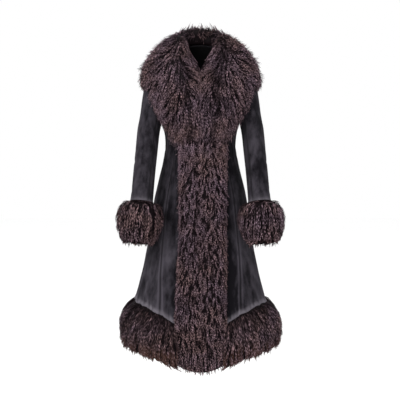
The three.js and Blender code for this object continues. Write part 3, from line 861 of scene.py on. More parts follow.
@dataclass
class SuedeSleeves:
    """Upper and under sleeve of each arm, with soft creases at the elbow and the armhole."""

    rows: int = 62
    roll: float = 0.9
    roll_width: float = 2.6
    lip: float = 1.3
    lip_width: float = 4.0
    per_degree: float = 0.75
    creases: Table = Table(
        "turn z length width out tilt",
        (20, -392, 40, 5, -1.6, 0.35), (60, -410, 36, 5, -1.8, -0.3), (95, -384, 34, 5, -1.9, 0.25),
        (-30, -372, 30, 6, -1.3, 0.4), (-70, -400, 36, 5, -1.5, -0.35), (120, -430, 30, 5, -1.4, 0.2),
        (45, -250, 44, 7, 1.4, 0.8), (-60, -246, 44, 7, 1.4, -0.8), (100, -282, 34, 6, -1.6, 0.5),
        (10, -498, 30, 6, -1.2, -0.3), (80, -512, 26, 5, -1.2, 0.35), (-100, -470, 34, 6, -1.4, 0.3),
    )

    def cut(self, node: str, low: float, high: float, columns: int) -> ClothCut:
        """One piece of the left sleeve between two turns, cut away inside the body.

        Args:
            node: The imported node's name.
            low: Turn round the arm at the first seam.
            high: Turn at the second seam.
            columns: Points across.

        Returns:
            The piece, ready to build.
        """
        at, across = grid(np.linspace(0, SLEEVE.wrist, self.rows), np.linspace(0, 1, columns))
        trim = np.degrees(SEAM_SLIT / 2 / SLEEVE_RINGS.at("halfWidth", at))
        turn = lerp(low + trim, high - trim, across)
        face = SLEEVE.at(at, turn, 0)
        to_seam, to_wrist = to_edges(face)
        z = face[..., 2]
        out = -self.roll * bell(to_seam / self.roll_width) + self.lip * bell(to_wrist / self.lip_width)
        for middle, height, *sizes in self.creases.values:
            across = ((turn - middle + 180) % 360 - 180) * self.per_degree
            out = out + crease(across, z - height, *sizes)
        outer, inner = SLEEVE.at(at, turn, out), SLEEVE.at(at, turn, out - SUEDE_WALL)
        keep = cut_along([outer, inner], BODY.outside(outer) - ARMHOLE_GAP)
        nap_and_painted_light = 0.38 + 0.05 * np.sin(z / 70 + turn / 40)
        shade = shade_of(0.5 * bell(to_wrist / 3) + 0.3 * bell(to_wrist / 12), bell(to_seam / 1.3), nap_and_painted_light)
        return suede_cut(node, outer, inner, shade, keep)

    def build(self, material: bpy.types.Material) -> None:
        """Builds the left sleeve's pieces and their mirror images."""
        pieces = (("upper", -UNDER_SLEEVE, UNDER_SLEEVE, 34), ("under", UNDER_SLEEVE, 360 - UNDER_SLEEVE, 14))
        for part, low, high, columns in pieces:
            left = self.cut(f"sleeve_left_{part}", low, high, columns)
            left.build(material)
            right = suede_cut(f"sleeve_right_{part}", left.outer * MIRROR, left.inner * MIRROR, left.shade, left.keep)
            right.build(material)


@dataclass
class NeckLining:
    """The smooth lining inside the back neck."""

    rows: int = 20
    columns: int = 50
    half_angle: float = 62.3
    lowest_ring: float = 2.8125
    thick: float = 1.0

    def build(self, material: bpy.types.Material) -> None:
        """A thin wall of the back's points, moved in."""
        at, side = grid(np.linspace(0, self.lowest_ring, self.rows), np.linspace(-1, 1, self.columns))
        angle = np.where(side < 0, -180, 180) - side * self.half_angle
        out = -SUEDE_WALL - LYING_GAP
        outer, inner = BODY.at(at, angle, out), BODY.at(at, angle, out - self.thick)
        shade, node = shade_of(0 * at, 0, 0), "back_neck_lining"
        ClothCut(f"{node}_cloth", node, "lining", outer, inner, shade, None).build(material)


@dataclass(frozen=True)
class LockStyle:
    """Sizes of one piece's locks, in millimetres.

    count is how many locks, length how far a lock runs, width its half width, steps its parts along its
    length, curl and pitch its waves' height and length, glint length how long its painted highlights are, tress how
    far a lock starts from its tress's middle, over how far the ends hang past the pile's last row, tuck how much
    they draw in there, cross how far they go past the side columns, stand how far the tips stand off, and tuft how
    much further the boldest tresses do. The ends are warm below warm_below. glow is a factor on the brightness.
    """

    count: int
    length: float
    width: float = 1.5
    steps: int = 5
    curl: float = 2.2
    pitch: float = 30.0
    glint_length: float = 9.0
    tress: float = 6.0
    per_tress: int = 5
    over: float = 12.0
    tuck: float = 0.0
    cross: float = 7.0
    stand: float = 4.0
    tuft: float = 8.0
    warmth: float = 0.0
    warm_below: float = -1010.0
    glow: float = 1.0
    seed: int = 1


def tubes(path: Array, normal: Array, fat: Array, turn: Array) -> Skin:
    """Closed three-sided tubes along paths, each tapering to a point.

    Args:
        path: Points of shape (tubes, steps + 1, 3).
        normal: Direction off the surface for each tube.
        fat: Half widths of shape (tubes, steps + 1).
        turn: Angle of each tube's first side, in radians.

    Returns:
        The tubes, with each one's points in a row and no colours yet.
    """
    count, steps = len(path), path.shape[1] - 1
    tangent = unit(np.gradient(path, axis=1))
    across = unit(np.cross(tangent, normal[:, None]))
    lift = np.cross(across, tangent)
    corner = turn[:, None, None] + 2 * math.pi * np.arange(3) / 3
    spoke = across[:, :, None] * np.cos(corner)[..., None] + 0.6 * lift[:, :, None] * np.sin(corner)[..., None]
    rings = (path[:, :, None] + spoke * fat[:, :, None, None])[:, :-1]
    tip = steps * 3
    points = np.concatenate([rings.reshape(count, tip, 3), path[:, -1:]], 1)
    start = (np.arange(count) * (tip + 1))[:, None, None]
    a = np.arange(tip - 3)
    b = np.where(a % 3 == 2, a - 2, a + 1)
    sides = np.stack([a, b, b + 3, a + 3], -1)
    last = np.arange(3) + tip - 3
    ends = np.stack([last, np.roll(last, -1), np.full(3, tip)], -1)
    triangles = np.concatenate([ends, [[2, 1, 0]]])
    quads = (start + sides).reshape(-1, 4)
    return Skin(points.reshape(-1, 3), quads, (start + triangles).reshape(-1, 3), np.zeros((0, 4)))


@dataclass
class Flow:
    """How tresses are combed: directions, and factors on length, overhang, crossing, standing and brightness, which
    paints shade and light.
    """

    aim: Array
    longer: Array | float = 1.0
    over: Array | float = 1.0
    cross: Array | float = 1.0
    stand: Array | float = 1.0
    glow: Array | float = 1.0


class Pile:
    """The space that a piece's fur fills, between a grid of roots and a grid of tips."""

    warm_fade = 45.0
    sunk = 0.06

    def __init__(
        self, roots: Array, tips: Array, base: Array | float, full: Array | float = 1.0,
        density: Array | float = 1.0, wrap: bool = False,
    ) -> None:
        """Keeps the grids.

        Args:
            roots: Points of shape (rows + 1, columns + 1, 3).
            tips: Points of the same shape.
            base: Share of the pile that the dense underfur fills, for each point or for all.
            full: Share of the pile that the locks end at, for each point or for all.
            density: How thickly locks grow, for each cell or for all.
            wrap: Whether the last column repeats the first one.
        """
        self.roots, self.tips, self.wrap = roots, tips, wrap
        self.rows, self.columns = roots.shape[0] - 1, roots.shape[1] - 1
        self.base = base + np.zeros(roots.shape[:2])
        self.full = full + np.zeros(roots.shape[:2])
        self.density = density + np.zeros((self.rows, self.columns))

    def on(self, grid_points: Array, row: Array, column: Array) -> Array:
        """A grid's value at fractional rows and columns, straight between points and on past the edges."""
        column = column % self.columns if self.wrap else column
        i = np.clip(np.floor(row).astype(int), 0, self.rows - 1)
        j = np.clip(np.floor(column).astype(int), 0, self.columns - 1)
        u, v = row - i, column - j
        if grid_points.ndim == 3:
            u, v = u[..., None], v[..., None]
        above = lerp(grid_points[i, j], grid_points[i, j + 1], v)
        return lerp(above, lerp(grid_points[i + 1, j], grid_points[i + 1, j + 1], v), u)

    def at(self, row: Array, column: Array, height: Array) -> Array:
        """Points between the two grids, a share of the height up the pile."""
        return lerp(self.on(self.roots, row, column), self.on(self.tips, row, column), np.asarray(height)[..., None])

    def spread(self, count: int, rng: np.random.Generator) -> tuple[Array, Array]:
        """Rows and columns of points spread evenly over the tips' area times the density."""
        a = np.diff(self.tips, axis=0)[:, :-1]
        b = np.diff(self.tips, axis=1)[:-1]
        area = np.linalg.norm(np.cross(a, b), axis=-1) * self.density
        area[1::2] = area[1::2, ::-1]
        total = np.cumsum(area.ravel())
        pick = (np.arange(count) + rng.random(count)) / count * total[-1]
        cell = np.minimum(np.searchsorted(total, pick), len(total) - 1)
        row, column = np.divmod(cell, self.columns)
        column = np.where(row % 2, self.columns - 1 - column, column)
        return row + rng.random(count), column + rng.random(count)

    def core(self) -> Skin:
        """The dense underfur, near black as painted shade deep in the pile: a closed wall from the roots to the
        base's share of the pile.
        """
        tops, roots = lerp(self.roots, self.tips, self.base[..., None]), self.roots
        if self.wrap:
            tops, roots = tops[:, :-1], roots[:, :-1]
        # All channels are zero, so the fur finish paints it near black, as the shade between the locks.
        return wall(tops, roots, shade_of(np.zeros(tops.shape[:2]), 0, 0, 0), wrap=self.wrap)

    def grow(self, style: LockStyle, comb: Callable[[Array, Array, Array], Flow]) -> Skin:
        """Grows tapering three-sided locks, gathered in wavy tresses.

        A tress starts at a spread point on the underfur and runs along it in the direction that it is combed
        in, while it rises through the rest of the pile. Where the surface faces that direction the tress
        stands off more and runs less. Its locks start beside it and draw near it, with waves of their own on
        top of the tress's. Past the pile's last row they hang straight down in a ragged edge.

        Args:
            style: The locks' sizes.
            comb: Function of points, rows and columns that gives the flow there.

        Returns:
            All locks as one skin.
        """
        rng = np.random.default_rng(style.seed)
        count = style.count
        tresses = max(count // style.per_tress, 1)
        row, column = self.spread(tresses, rng)
        step, high = 0.5, np.full(tresses, 0.8)
        here = self.at(row, column, high)
        per_row = self.at(row + step, column, high) - self.at(row - step, column, high)
        per_column = self.at(row, column + step, high) - self.at(row, column - step, high)
        flow = comb(here, row, column)
        aim = unit(unit(flow.aim) + rng.normal(0, 0.12, here.shape))
        rr, cc = (per_row**2).sum(-1) + 1, (per_column**2).sum(-1) + 1
        rc, ar, ac = (per_row * per_column).sum(-1), (aim * per_row).sum(-1), (aim * per_column).sum(-1)
        down, side = (ar * cc - ac * rc) / (rr * cc - rc**2), (ac * rr - ar * rc) / (rr * cc - rc**2)
        along_face = np.linalg.norm(down[:, None] * per_row + side[:, None] * per_column, axis=-1)
        down, side = down / np.maximum(along_face, 0.05), side / np.maximum(along_face, 0.05)
        row_size, column_size = np.sqrt(rr), np.sqrt(cc)
        length = style.length * flow.longer * rng.uniform(0.75, 1.2, tresses)
        length = length * np.clip(along_face * 1.3, 0.3, 1)
        bold = style.tuft * rng.random(tresses) ** 2.3
        stand = (style.stand * (0.2 + 1.5 * np.clip(1 - along_face, 0, 1)) + bold) * flow.stand
        hang = style.over * flow.over * rng.uniform(-0.5, 1.0, tresses)
        room = np.maximum(((self.rows - row) * row_size + hang) / row_size, 9 / row_size)
        length = np.where(down * length > room, room / np.maximum(down, 1e-6), length)
        phase = rng.uniform(0, 2 * math.pi, tresses)
        base_normal = unit(self.at(row, column, np.ones(tresses)) - self.at(row, column, np.zeros(tresses)))

        tress = np.arange(count) % tresses
        around, off = rng.uniform(0, 2 * math.pi, count), style.tress * np.sqrt(rng.random(count))
        off_row, off_column = off * np.cos(around) / row_size[tress], off * np.sin(around) / column_size[tress]
        s = np.linspace(0, 1, style.steps + 1)[None, :]
        near = 1 - 0.7 * s
        own = length[tress] * rng.uniform(0.8, 1.12, count)
        run = own[:, None] * s
        lift_by = rng.uniform(0.9, 1.05, count)[:, None]
        rows = row[tress][:, None] + off_row[:, None] * near + down[tress][:, None] * run
        columns = column[tress][:, None] + off_column[:, None] * near + side[tress][:, None] * run
        past = (style.cross * flow.cross * rng.uniform(0.1, 1.5, tresses) / column_size)[tress][:, None]
        if not self.wrap:
            columns = np.clip(columns, -past, self.columns + past)
        held = np.clip(rows, -0.3, self.rows)
        kept = np.clip(columns, 0, self.columns)
        low, top = self.on(self.base, held, kept) - self.sunk, self.on(self.full, held, kept) * lift_by
        path = self.at(held, columns, lerp(low, np.maximum(top, low), s**0.6))
        excess = np.maximum(rows - self.rows, 0) * row_size[tress][:, None]
        path[..., 2] -= excess
        normal = base_normal[tress]
        path = path - normal[:, None] * (style.tuck * excess)[..., None]
        off_tip = stand[tress] + style.stand * rng.normal(0, 0.35, count)
        path = path + normal[:, None] * (off_tip[:, None] * s**1.6)[..., None]
        ahead = unit(path[:, -1] - path[:, 0])
        side_way = unit(np.cross(ahead, normal))
        up_way = unit(np.cross(side_way, ahead))
        pitch = style.pitch * rng.uniform(0.85, 1.2, count)[:, None]
        wave = phase[tress][:, None] + 2 * math.pi * run / pitch
        swell = style.curl * s**0.6 * np.minimum(own / style.length * 1.5, 1)[:, None]
        own_phase = rng.uniform(0, 2 * math.pi, count)[:, None]
        sway = swell * (np.sin(wave) + 0.45 * np.sin(2.3 * wave + own_phase))
        heave = swell * (0.6 * np.cos(wave) + 0.4 * np.cos(1.7 * wave + own_phase))
        path = path + side_way[:, None] * sway[..., None] + up_way[:, None] * heave[..., None]
        fat = style.width * rng.uniform(0.6, 1.3, count)[:, None] * np.minimum(1, 0.6 + 1.6 * s) * (1 - s) ** 0.55
        locks = tubes(path, normal, fat, rng.uniform(0, 2 * math.pi, count))
        along = np.concatenate([np.repeat(s[:, :-1], 3, axis=1), s[:, -1:]], 1)
        # Brightness of each lock, with the flow's painted shade and painted light.
        glow = style.glow * (flow.glow + np.zeros(tresses))
        lock = ((0.65 * rng.random(count) + 0.35 * rng.random(tresses)[tress]) * glow[tress])[:, None]
        # Phase of the painted glints along each lock.
        glint_phase = along * own[:, None] / style.glint_length + phase[tress][:, None] + 0.15 * own_phase
        z = locks.points[:, 2].reshape(count, -1)
        warmth = np.clip((style.warm_below - z) / self.warm_fade, 0, 1) * style.warmth
        return replace(locks, shade=shade_of(lock, along, warmth, glint_phase).reshape(-1, 4)).facing_out()

    def fur(self, style: LockStyle, comb: Callable[[Array, Array, Array], Flow]) -> Skin:
        """The underfur with its locks."""
        return self.core().joined(self.grow(style, comb))


def dress_fur(node: str, skin: Skin, material: bpy.types.Material) -> None:
    """Builds one fur piece."""
    dress(f"{node}_hair", node, "fur", skin, material)


def dress_mirrored(node: str, pile: Pile, style: LockStyle, comb: Callable, material: bpy.types.Material) -> None:
    """Builds the left fur piece, and on the right its mirror image with locks of its own."""
    dress_fur(f"{node}_left", pile.fur(style, comb), material)
    other = replace(style, seed=style.seed + 1)
    dress_fur(f"{node}_right", pile.fur(other, comb).mirrored(), material)


def angle_at_x(place: Callable[[Array], Array], sign: int, x: Array, angle: Array) -> Array:
    """Angle at which a row of points is as far from the centre plane as x says, by Newton's method.

    Args:
        place: Function that gives the points at an angle.
        sign: 1 on the wearer's left and -1 on the right.
        x: Distances from the centre plane.
        angle: First guess.

    Returns:
        Angles from 0 to 70, without the sign.
    """
    for _ in range(NEWTON_STEPS):
        here, there = (place(sign * turn)[..., 0] * sign for turn in (angle, angle + 1))
        angle = np.clip(angle + (x - here) / (there - here), 0, 70)
    return angle


def own_side(point: Array, sign: int) -> Array:
    """The points, with those past the centre plane moved back onto it."""
    point[..., 0] = sign * np.maximum(point[..., 0] * sign, 0)
    return point


@dataclass
class Collar:
    """The shawl collar's fur, half on each side, from the neck seam over the roll to the lower edge."""

    style: LockStyle = LockStyle(
        count=7000, length=58, width=1.2, steps=4, curl=1.5, pitch=30, glint_length=15, stand=4, tuft=16, over=16,
        cross=6, tuck=0.35, seed=11,
    )
    fan: Table = Table("lean", (-0.5,), (-0.52,), (-0.4,), (0.1,), (0.4,), (0.6,), (0.78,), (0.95,), (1.05,))
    opening: Table = Table(
        "angle share", (0, 1.5), (10, 1.35), (18, 1.0), (28, 0.6), (38, 0.1), (50, -0.25), (66, -0.1), (90, 0)
    )
    parting: Table = Table("z x", (-300, 34), (-160, 50), (-104, 58), (-10, 72), (60, 80))
    row_step: float = 0.5
    columns: int = 72
    roll: float = 2.7
    looks: int = 40

    def pile(self) -> Pile:
        """The pile's space: from the body's or the sleeve's face out to the collar's rings.

        The pile is low beside the neck's V, as the opening's table says, and fuller over the roll at the back.
        """
        at, angle = grid(
            np.linspace(0, COLLAR_RINGS.last, int(COLLAR_RINGS.last / self.row_step) + 1),
            np.linspace(0, 180, self.columns + 1),
        )
        c, s = cosd(angle), sind(angle)
        vee = (1 - s) ** lerp(1.5, 1.23, np.clip(at, 0, 1))
        edge = np.sin(math.pi / 2 * np.clip((COLLAR_FRONT_END - angle) / 47, 0, 1))
        z = ring_height(COLLAR_RINGS, at, angle, lerp(vee, edge, at / COLLAR_RINGS.last))
        depth = np.where(c > 0, COLLAR_RINGS.at("front", at), COLLAR_RINGS.at("back", at))
        tips = np.stack([COLLAR_RINGS.at("halfWidth", at) * s, -depth * c, z], -1)
        lowest = BODY.ring_at(z[-1:] + 4, angle[-1:])
        roots = BODY.at(lowest * at / COLLAR_RINGS.last, angle, LYING_GAP)
        roots[0, :, 2] += LYING_GAP
        roots[..., 0] = np.maximum(roots[..., 0], 0)
        steps = np.linspace(0, 1, self.looks + 1)[:, None, None, None]
        inside = SLEEVE.outside(lerp(roots[None], tips[None], steps)) <= LYING_GAP
        share = np.where(inside.any(0), 1 - np.argmax(inside[::-1], 0) / self.looks, 0)
        roots = lerp(roots, tips, np.clip(share + 0.025 * inside.any(0), 0, 0.85)[..., None])
        vee_side = bell((at - 1.7) / 1.8) * self.opening.line("share", "angle", angle)
        back_roll = bell((at - self.roll - 0.3) / 1.1) * np.clip((angle - 80) / 30, 0, 1)
        shoulder = bell((angle - 90) / 35)
        base = 0.70 + 0.06 * bell((at - self.roll) / 1.2) - 0.34 * vee_side + 0.12 * back_roll - 0.04 * shoulder
        full = 0.93 - 0.42 * vee_side + 0.1 * back_roll - 0.08 * shoulder
        cell, turn = at[:-1, :-1], angle[:-1, :-1]
        density = 1 + 1.7 * bell((cell - self.roll + 0.2) / 0.8)
        density = density * np.where((turn > 75) & (cell < 1.1), 0.03, 1) * lerp(1.25, 0.8, turn / 180)
        density = density * np.where((turn < 42) & (cell > 8.2), 2.2, 1) + 2.2 * back_roll[:-1, :-1]
        density = density * np.where((turn < 11) & (cell < 1.8), 0.25, 1)
        return Pile(roots, tips, base, full, density)

    def comb(self, point: Array, row: Array, column: Array) -> Flow:
        """Away from the roll on both sides, down and in to the centre front, and out over the shoulders.

        Inside the parting the locks lean in, the more so the nearer they are to the neck. Outside it they lean
        out as the fan's table says. Behind the shoulder both leans fade, and locks on the roll stand up there.

        Args:
            point: Where the tresses start.
            row: Their rows.
            column: Their columns.

        Returns:
            The flow there, with painted shade in the parting, inside the roll at the back and in the slit at the
            centre front.
        """
        x, z = np.abs(point[:, 0]), point[:, 2]
        at, angle = row * self.row_step, column * 180 / self.columns
        spoke = np.stack([sind(angle), -cosd(angle), 0 * angle], -1)
        front = np.clip((95 - angle) / 35, 0, 1)
        crossing = 0.45 * np.sin(column * 5.1 + row * 7.3)
        inner = np.clip((self.roll - 0.2 - at + crossing) / 0.35, -1, 1)
        out = np.where(inner > 0, -0.55 * inner * (1 - front), -0.75 * inner * lerp(1, 0.3, front))
        split = self.parting.line("x", "z", z)
        side = np.clip((x - split) / 14 + 0.5 * np.sin(row * 4.7 + column * 3.1), -1, 1)
        inward = -0.62 * np.clip((z + 210) / 90, 0.08, 1) * np.clip(x / 34, 0.12, 1)
        inward = inward - 0.6 * np.clip((z + 45) / 30, 0, 1) * (inner > 0)
        outward = self.fan.at("lean", np.clip(x / 25, 3, self.fan.last)) * np.clip(1.1 + z / 300, 0.25, 1)
        lean = np.where(side < 0, -side * inward, side * outward) * np.clip((130 - angle) / 50, 0, 1)
        lean = np.where((inner > 0.2) & (front < 0.5), 0, lean)
        shoulder = np.clip((z + 120) / 110, 0, 1) * np.clip((angle - 35) / 25, 0, 1) * (inner < 0)
        back_roll = bell((at - self.roll - 0.3) / 0.9) * (1 - front)
        rise = -1 + 0.6 * shoulder + 1.8 * back_roll
        aim = np.stack([lean, 0 * lean, rise], -1) + spoke * (out + 0.4 * shoulder)[:, None]
        longer = np.where(inner > 0.3, lerp(0.42, 0.7, front), 1.0) * (1 - 0.25 * shoulder)
        over = lerp(1.0, 4.2, np.clip((44 - angle) / 10, 0, 1))
        cross = np.where((z > -190) & (angle < 90), 0.2, 1.2)
        stand = (1 + 0.6 * shoulder) * (1 - 0.6 * back_roll) * np.clip((10.4 - at) / 2, 0.2, 1)
        stand = np.where((inner > -0.2) & (front > 0.3), np.where(z > -95, 0.15, 0.5), stand)
        # Painted shade: darker along the parting, inside the roll at the back and in the centre-front slit.
        slit = bell(x / 9) * np.clip((z + 118) / 24, 0, 1) * front
        glow = 1 - 0.35 * bell((x - split) / 10) * front - 0.3 * (inner > 0) * (1 - front) - 0.6 * slit
        return Flow(aim, longer, over, cross, stand, glow)

    def build(self, material: bpy.types.Material) -> None:
        """Both halves, each with locks of its own."""
        dress_mirrored("collar", self.pile(), self.style, self.comb, material)


def fur_bottom(angle: Array) -> Array:
    """Height of the hem fur's lower edge: level, with a bell-shaped dip at the centre front."""
    return FUR_BOTTOM_SIDE - FUR_BOTTOM_DIP * bell(angle / FUR_BOTTOM_SPREAD)


@dataclass
class FrontBand:
    """The two strips of fur down the front. The wearer's right one is narrower, and widens near the hem."""

    style: LockStyle = LockStyle(
        count=4500, length=24, width=1.15, steps=4, curl=1.9, pitch=13, glint_length=8, tress=4, per_tress=3,
        stand=2.5, tuft=5, over=14, cross=9, warmth=0.6, warm_below=-1080, seed=21,
    )
    rows: int = 60
    narrow: float = 0.83
    locks: float = 0.24
    section: Table = Table(
        "across pile", (0, 0.84), (0.17, 0.96), (0.36, 1), (0.55, 0.97), (0.73, 0.88), (0.88, 0.68), (0.98, 0.36),
        (1, 0.05),
    )
    pinches: Table = Table("x z radius depth", (-11, -440, 15, 0.75), (-46, -546, 12, 0.5), (-2, -560, 12, 0.45))

    def pile(self, sign: int) -> Pile:
        """The pile's space over the front panels, at even distances from the centre front."""
        down, column = grid(np.linspace(0, 1, self.rows + 1), np.arange(self.section.last + 1))
        across, thick = self.section.at("across", column), self.section.at("pile", column)
        ends = np.clip(np.minimum(down, 1 - down) * self.rows / 5, 0, 1)
        bottom = fur_bottom(24 * across)

        def grid_of(x: Array, z: Array, out: Array) -> Array:
            """Points at a distance from the centre plane and a height."""
            angle = angle_at_x(lambda turn: BODY.at_height(z, turn, LYING_GAP), sign, x, np.zeros(x.shape))
            return own_side(BODY.at_height(z, sign * angle, LYING_GAP + out), sign)

        low = lerp(BAND_TOP, bottom + 6, down)
        wide = lerp(self.narrow, 1, np.clip((-660 - low) / 260, 0, 1)) if sign < 0 else 1
        width = BAND_WIDTH * across * wide
        tips = grid_of(width, low, BAND_PILE * thick * lerp(0.72, 1, ends))
        roots = grid_of(width * 0.94, lerp(BAND_TOP, bottom + 12, down), 0 * across)
        for x, z, radius, depth in self.pinches.values:
            near = bell(np.hypot(tips[..., 0] - x, tips[..., 2] - z) / radius)
            tips = lerp(tips, roots, depth * near[..., None])
        side, top = np.where(column > 4, 1.7, 1.0), np.where(down < 0.08, 1.8, 1.0)
        full = 0.96 + 0.2 * np.clip(1 - down * self.rows / 5, 0, 1)
        return Pile(roots, tips, full - self.locks, full, (side * top)[:-1, :-1])

    def comb(self, point: Array, row: Array, column: Array) -> Flow:
        """Short curls that lean down and every way, outwards at the strip's side edge, with painted light on the top
        rows.
        """
        wander = np.sin(row * 1.9 + column * 2.7) + np.sin(row * 0.83 - column * 1.9)
        out = 0.17 * wander + 0.75 * np.clip((column - 3.5) / 3.4, 0, 1) - 0.6 * bell(column / 0.9)
        down = 1.0 + 0.2 * np.sin(row * 1.13 + column * 1.3)
        foot = np.clip((row - self.rows * 0.84) / (self.rows * 0.16), 0, 1)
        aim = np.stack([np.sign(point[:, 0]) * out * lerp(1, 0.5, foot), 0 * out, -lerp(down, 1.2, foot)], -1)
        # Painted light: the top rows are lighter.
        stand, glow = 1 + 1.5 * np.clip((column - 5) / 2, 0, 1), 1 + 0.15 * np.clip((26 - row) / 10, 0, 1)
        return Flow(aim, lerp(1.0, 1.3, foot), stand=stand, glow=glow)

    def build(self, material: bpy.types.Material) -> None:
        """Both strips, each on its own side's folds."""
        for side, sign in (("left", 1), ("right", -1)):
            style = replace(self.style, seed=self.style.seed + (sign < 0))
            dress_fur(f"front_band_{side}", self.pile(sign).fur(style, self.comb), material)


def hanging_pile(table: Table, row: Array, grid_of: Callable[[str, str], Array], wrap: bool = False) -> Pile:
    """Pile of a fringe, between the table's two sections, thickest along its first row."""
    density = np.where(row < 1, 2.6, np.where(row > 5, 1.5, 1.0))[:-1, :-1]
    full = table.at("full", row)
    return Pile(grid_of("inward", "inwardDown"), grid_of("outward", "down"), full - FRINGE_LOCKS, full, density, wrap)


def hanging_flow(away: Array, side: Array | float, row: Array, sway: Array) -> Flow:
    """Flow of a fringe: out and down, with a sway to the sides.

    Args:
        away: Vectors from the middle of the body or the arm.
        side: Sign of the way round that a positive sway goes.
        row: Rows of the pile.
        sway: How far the locks lean to the sides.

    Returns:
        The flow, which stands off less and has painted shadow at the edge that the fringe hangs from, under the
        suede.
    """
    spoke = unit(away * np.array([1.0, 1.0, 0.0]))
    around = np.stack([-spoke[:, 1], spoke[:, 0], spoke[:, 2]], -1) * side
    out = 0.5 * np.clip((3.5 - row) / 3, 0, 1) + 0.05
    aim = np.array([0, 0, -1.0]) + spoke * out[:, None] + around * sway[:, None]
    # The first rows are darker: painted shadow under the suede's edge.
    return Flow(aim, stand=np.clip(row / 2 - 0.2, 0, 1), glow=np.clip(0.35 + row * 0.4, 0, 1))


@dataclass
class HemFur:
    """The deep fur below the suede's hem, half on each side."""

    style: LockStyle = LockStyle(
        count=5000, length=62, width=1.3, steps=4, curl=1.8, pitch=32, glint_length=16, stand=2.5, tuft=9, over=17,
        cross=16, warmth=0.9, seed=31,
    )
    glows: tuple[float, float] = (0.95, 0.8)
    columns: int = 70
    section: Table = Table(
        "outward down inward inwardDown full",
        (-2.1, -0.035, -3.6, -0.035, 0.6),
        (14, -0.04, -2.6, 0.12, 0.78),
        (33, 0.08, -1, 0.26, 0.88),
        (47, 0.28, 0, 0.4, 0.88),
        (54, 0.5, 1, 0.54, 0.83),
        (51, 0.72, 2, 0.68, 0.74),
        (42, 0.9, 4, 0.82, 0.66),
        (27, 0.99, 8, 0.92, 0.68),
        (14, 0.98, 12, 0.96, 0.74),
    )

    def pile(self, sign: int) -> Pile:
        """The pile's space, from the strip's hide out and down to the hanging tips."""
        row, column = grid(np.arange(self.section.last + 1), np.linspace(0, 1, self.columns + 1))
        start = BAND_WIDTH - 4

        def place(angle: Array, out: Array, down: Array) -> Array:
            """Point beside the hem, by its distance out and share of the fur's depth."""
            edge = BODY.face(np.full(angle.shape, float(BODY.hem)), angle)[..., 2] - 2 * LYING_GAP
            return BODY.at_height(lerp(edge, fur_bottom(angle), down), angle, out)

        def grid_of(out: str, down: str) -> Array:
            """Points of one grid, with the first column at the front strip's edge."""
            outs, downs = self.section.at(out, row), self.section.at(down, row)
            first = angle_at_x(lambda turn: place(turn, outs, downs), sign, start, np.full(row.shape, 20.0))
            return own_side(place(sign * lerp(first, 180, column), outs, downs), sign)

        return hanging_pile(self.section, row, grid_of)

    def comb(self, point: Array, row: Array, column: Array) -> Flow:
        """Out and down, a little to either side, and over to the front strip at its edge."""
        sway = 0.10 * np.sin(column * 0.9) + 0.08 * np.sin(column * 2.3 + row) - 0.4 * bell(column / 2)
        return hanging_flow(point, np.sign(point[:, :1]), row, sway)

    def build(self, material: bpy.types.Material) -> None:
        """Both halves, each on its own side's folds."""
        for side, sign, glow in zip(("left", "right"), (1, -1), self.glows, strict=True):
            style = replace(self.style, seed=self.style.seed + (sign < 0), glow=glow)
            dress_fur(f"hem_fur_{side}", self.pile(sign).fur(style, self.comb), material)


@dataclass
class Cuff:
    """The fur round each wrist."""

    style: LockStyle = LockStyle(
        count=2700, length=54, width=1.3, steps=4, curl=1.8, pitch=28, glint_length=15, stand=2.5, tuft=8, over=15,
        warmth=0.35, glow=0.92, warm_below=-640, seed=41,
    )
    columns: int = 48
    section: Table = Table(
        "outward down inward inwardDown full",
        (-2.1, -0.03, -3.6, -0.03, 0.4),
        (16, -0.06, -2.6, 0.12, 0.64),
        (31, -0.01, -2, 0.26, 0.88),
        (41, 0.16, -1.5, 0.4, 0.98),
        (45, 0.4, -1, 0.54, 0.98),
        (44, 0.64, -0.5, 0.68, 0.89),
        (37, 0.85, 0, 0.82, 0.75),
        (24, 0.98, 2, 0.92, 0.7),
        (9, 0.99, 6, 0.97, 0.75),
    )

    def pile(self) -> Pile:
        """The pile's space round the left wrist."""
        row, turn = grid(np.arange(self.section.last + 1), np.linspace(0, 360, self.columns + 1))
        wrist = np.full(row.shape, float(SLEEVE.wrist))
        down, _, _ = SLEEVE.axes(wrist)

        def grid_of(out: str, below: str) -> Array:
            """Points of one grid."""
            depth = self.section.at(below, row) * CUFF_DEPTH + LYING_GAP
            return SLEEVE.at(wrist, turn, self.section.at(out, row)) + down * depth[..., None]

        return hanging_pile(self.section, row, grid_of, wrap=True)

    def comb(self, point: Array, row: Array, column: Array) -> Flow:
        """Out and down, a little to either side."""
        middle = SLEEVE.centre(np.full(len(row), float(SLEEVE.wrist)))
        sway = 0.10 * np.sin(column * 1.3) + 0.08 * np.sin(column * 2.9 + row)
        return hanging_flow(point - middle, 1.0, row, sway)

    def build(self, material: bpy.types.Material) -> None:
        """Both cuffs, each with locks of its own."""
        dress_mirrored("cuff", self.pile(), self.style, self.comb, material)


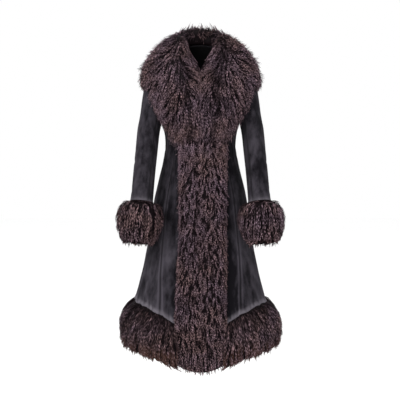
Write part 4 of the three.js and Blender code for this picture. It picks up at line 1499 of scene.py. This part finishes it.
@dataclass
class Studio:
    """White paper floor, soft lamps, a white surround and the camera, in metres."""

    floor: float = -1.7
    half_floor: float = 9.0
    camera_at: tuple[float, float, float] = (-0.002, -3.2, -0.216)
    looks_at: tuple[float, float, float] = (-0.002, 0.0, -0.540)
    lit: tuple[float, float, float] = (0.0, 0.0, -0.5)
    lamps: tuple[tuple[str, tuple[float, float, float], float, float], ...] = (
        ("key_lamp", (-2.2, -3.0, 1.6), 1.4, 120),
        ("fill_lamp", (2.8, -2.6, 0.6), 2.2, 25),
        ("top_lamp", (0.0, -0.6, 2.4), 2.0, 40),
    )
    frame_width: float = 1.44
    sensor: float = 36.0

    def place(self, name: str, data: bpy.types.ID, at: tuple, target: tuple) -> bpy.types.Object:
        """Puts a lamp or camera at a point, aimed at another one."""
        made = bpy.data.objects.new(name, data)
        made.location = at
        made.rotation_euler = (Vector(target) - Vector(at)).to_track_quat("-Z", "Y").to_euler()
        bpy.context.scene.collection.objects.link(made)
        return made

    def paper(self, material: bpy.types.Material) -> None:
        """A level sheet of floor."""
        ends = np.array([-self.half_floor, self.half_floor])
        x, y = grid(ends, ends)
        points = np.stack([x, y, np.full(x.shape, self.floor)], -1).reshape(-1, 3) / MM
        skin = Skin(points, np.array([[0, 2, 3, 1]]), np.zeros((0, 3), int), np.ones((4, 4)))
        write_piece("studio_floor", skin, material)

    def lamp(self, name: str, at: tuple[float, float, float], size: float, watts: float) -> None:
        """A square soft lamp that points at the coat's middle."""
        light = bpy.data.lights.new(name, "AREA")
        light.size, light.energy = size, watts
        self.place(name, light, at, self.lit)

    def build(self) -> None:
        """Floor, lamps, world light and camera."""
        self.paper(FloorFinish().material())
        for name, at, size, watts in self.lamps:
            self.lamp(name, at, size, watts)
        world = bpy.data.worlds.new("studio")
        world.use_nodes = True
        surround = world.node_tree.nodes["Background"].inputs
        surround["Color"].default_value = (1, 1, 1, 1)
        surround["Strength"].default_value = 1.0
        bpy.context.scene.world = world
        bpy.context.scene.view_settings.view_transform = "Standard"
        camera = bpy.data.cameras.new("camera")
        camera.sensor_width = self.sensor
        distance = (Vector(self.looks_at) - Vector(self.camera_at)).length
        camera.lens = self.sensor * distance / self.frame_width
        bpy.context.scene.camera = self.place("camera", camera, self.camera_at, self.looks_at)


def main() -> None:
    """Builds the studio, then the suede, the lining and the fur."""
    logging.basicConfig(level=logging.INFO, format="%(message)s")
    Studio().build()
    suede, fur = SuedeFinish().material(), FurFinish().material()
    SuedeBody().build(suede)
    SuedeSleeves().build(suede)
    NeckLining().build(LiningFinish().material())
    Collar().build(fur)
    FrontBand().build(fur)
    HemFur().build(fur)
    Cuff().build(fur)


if __name__ == "__main__":
    main()
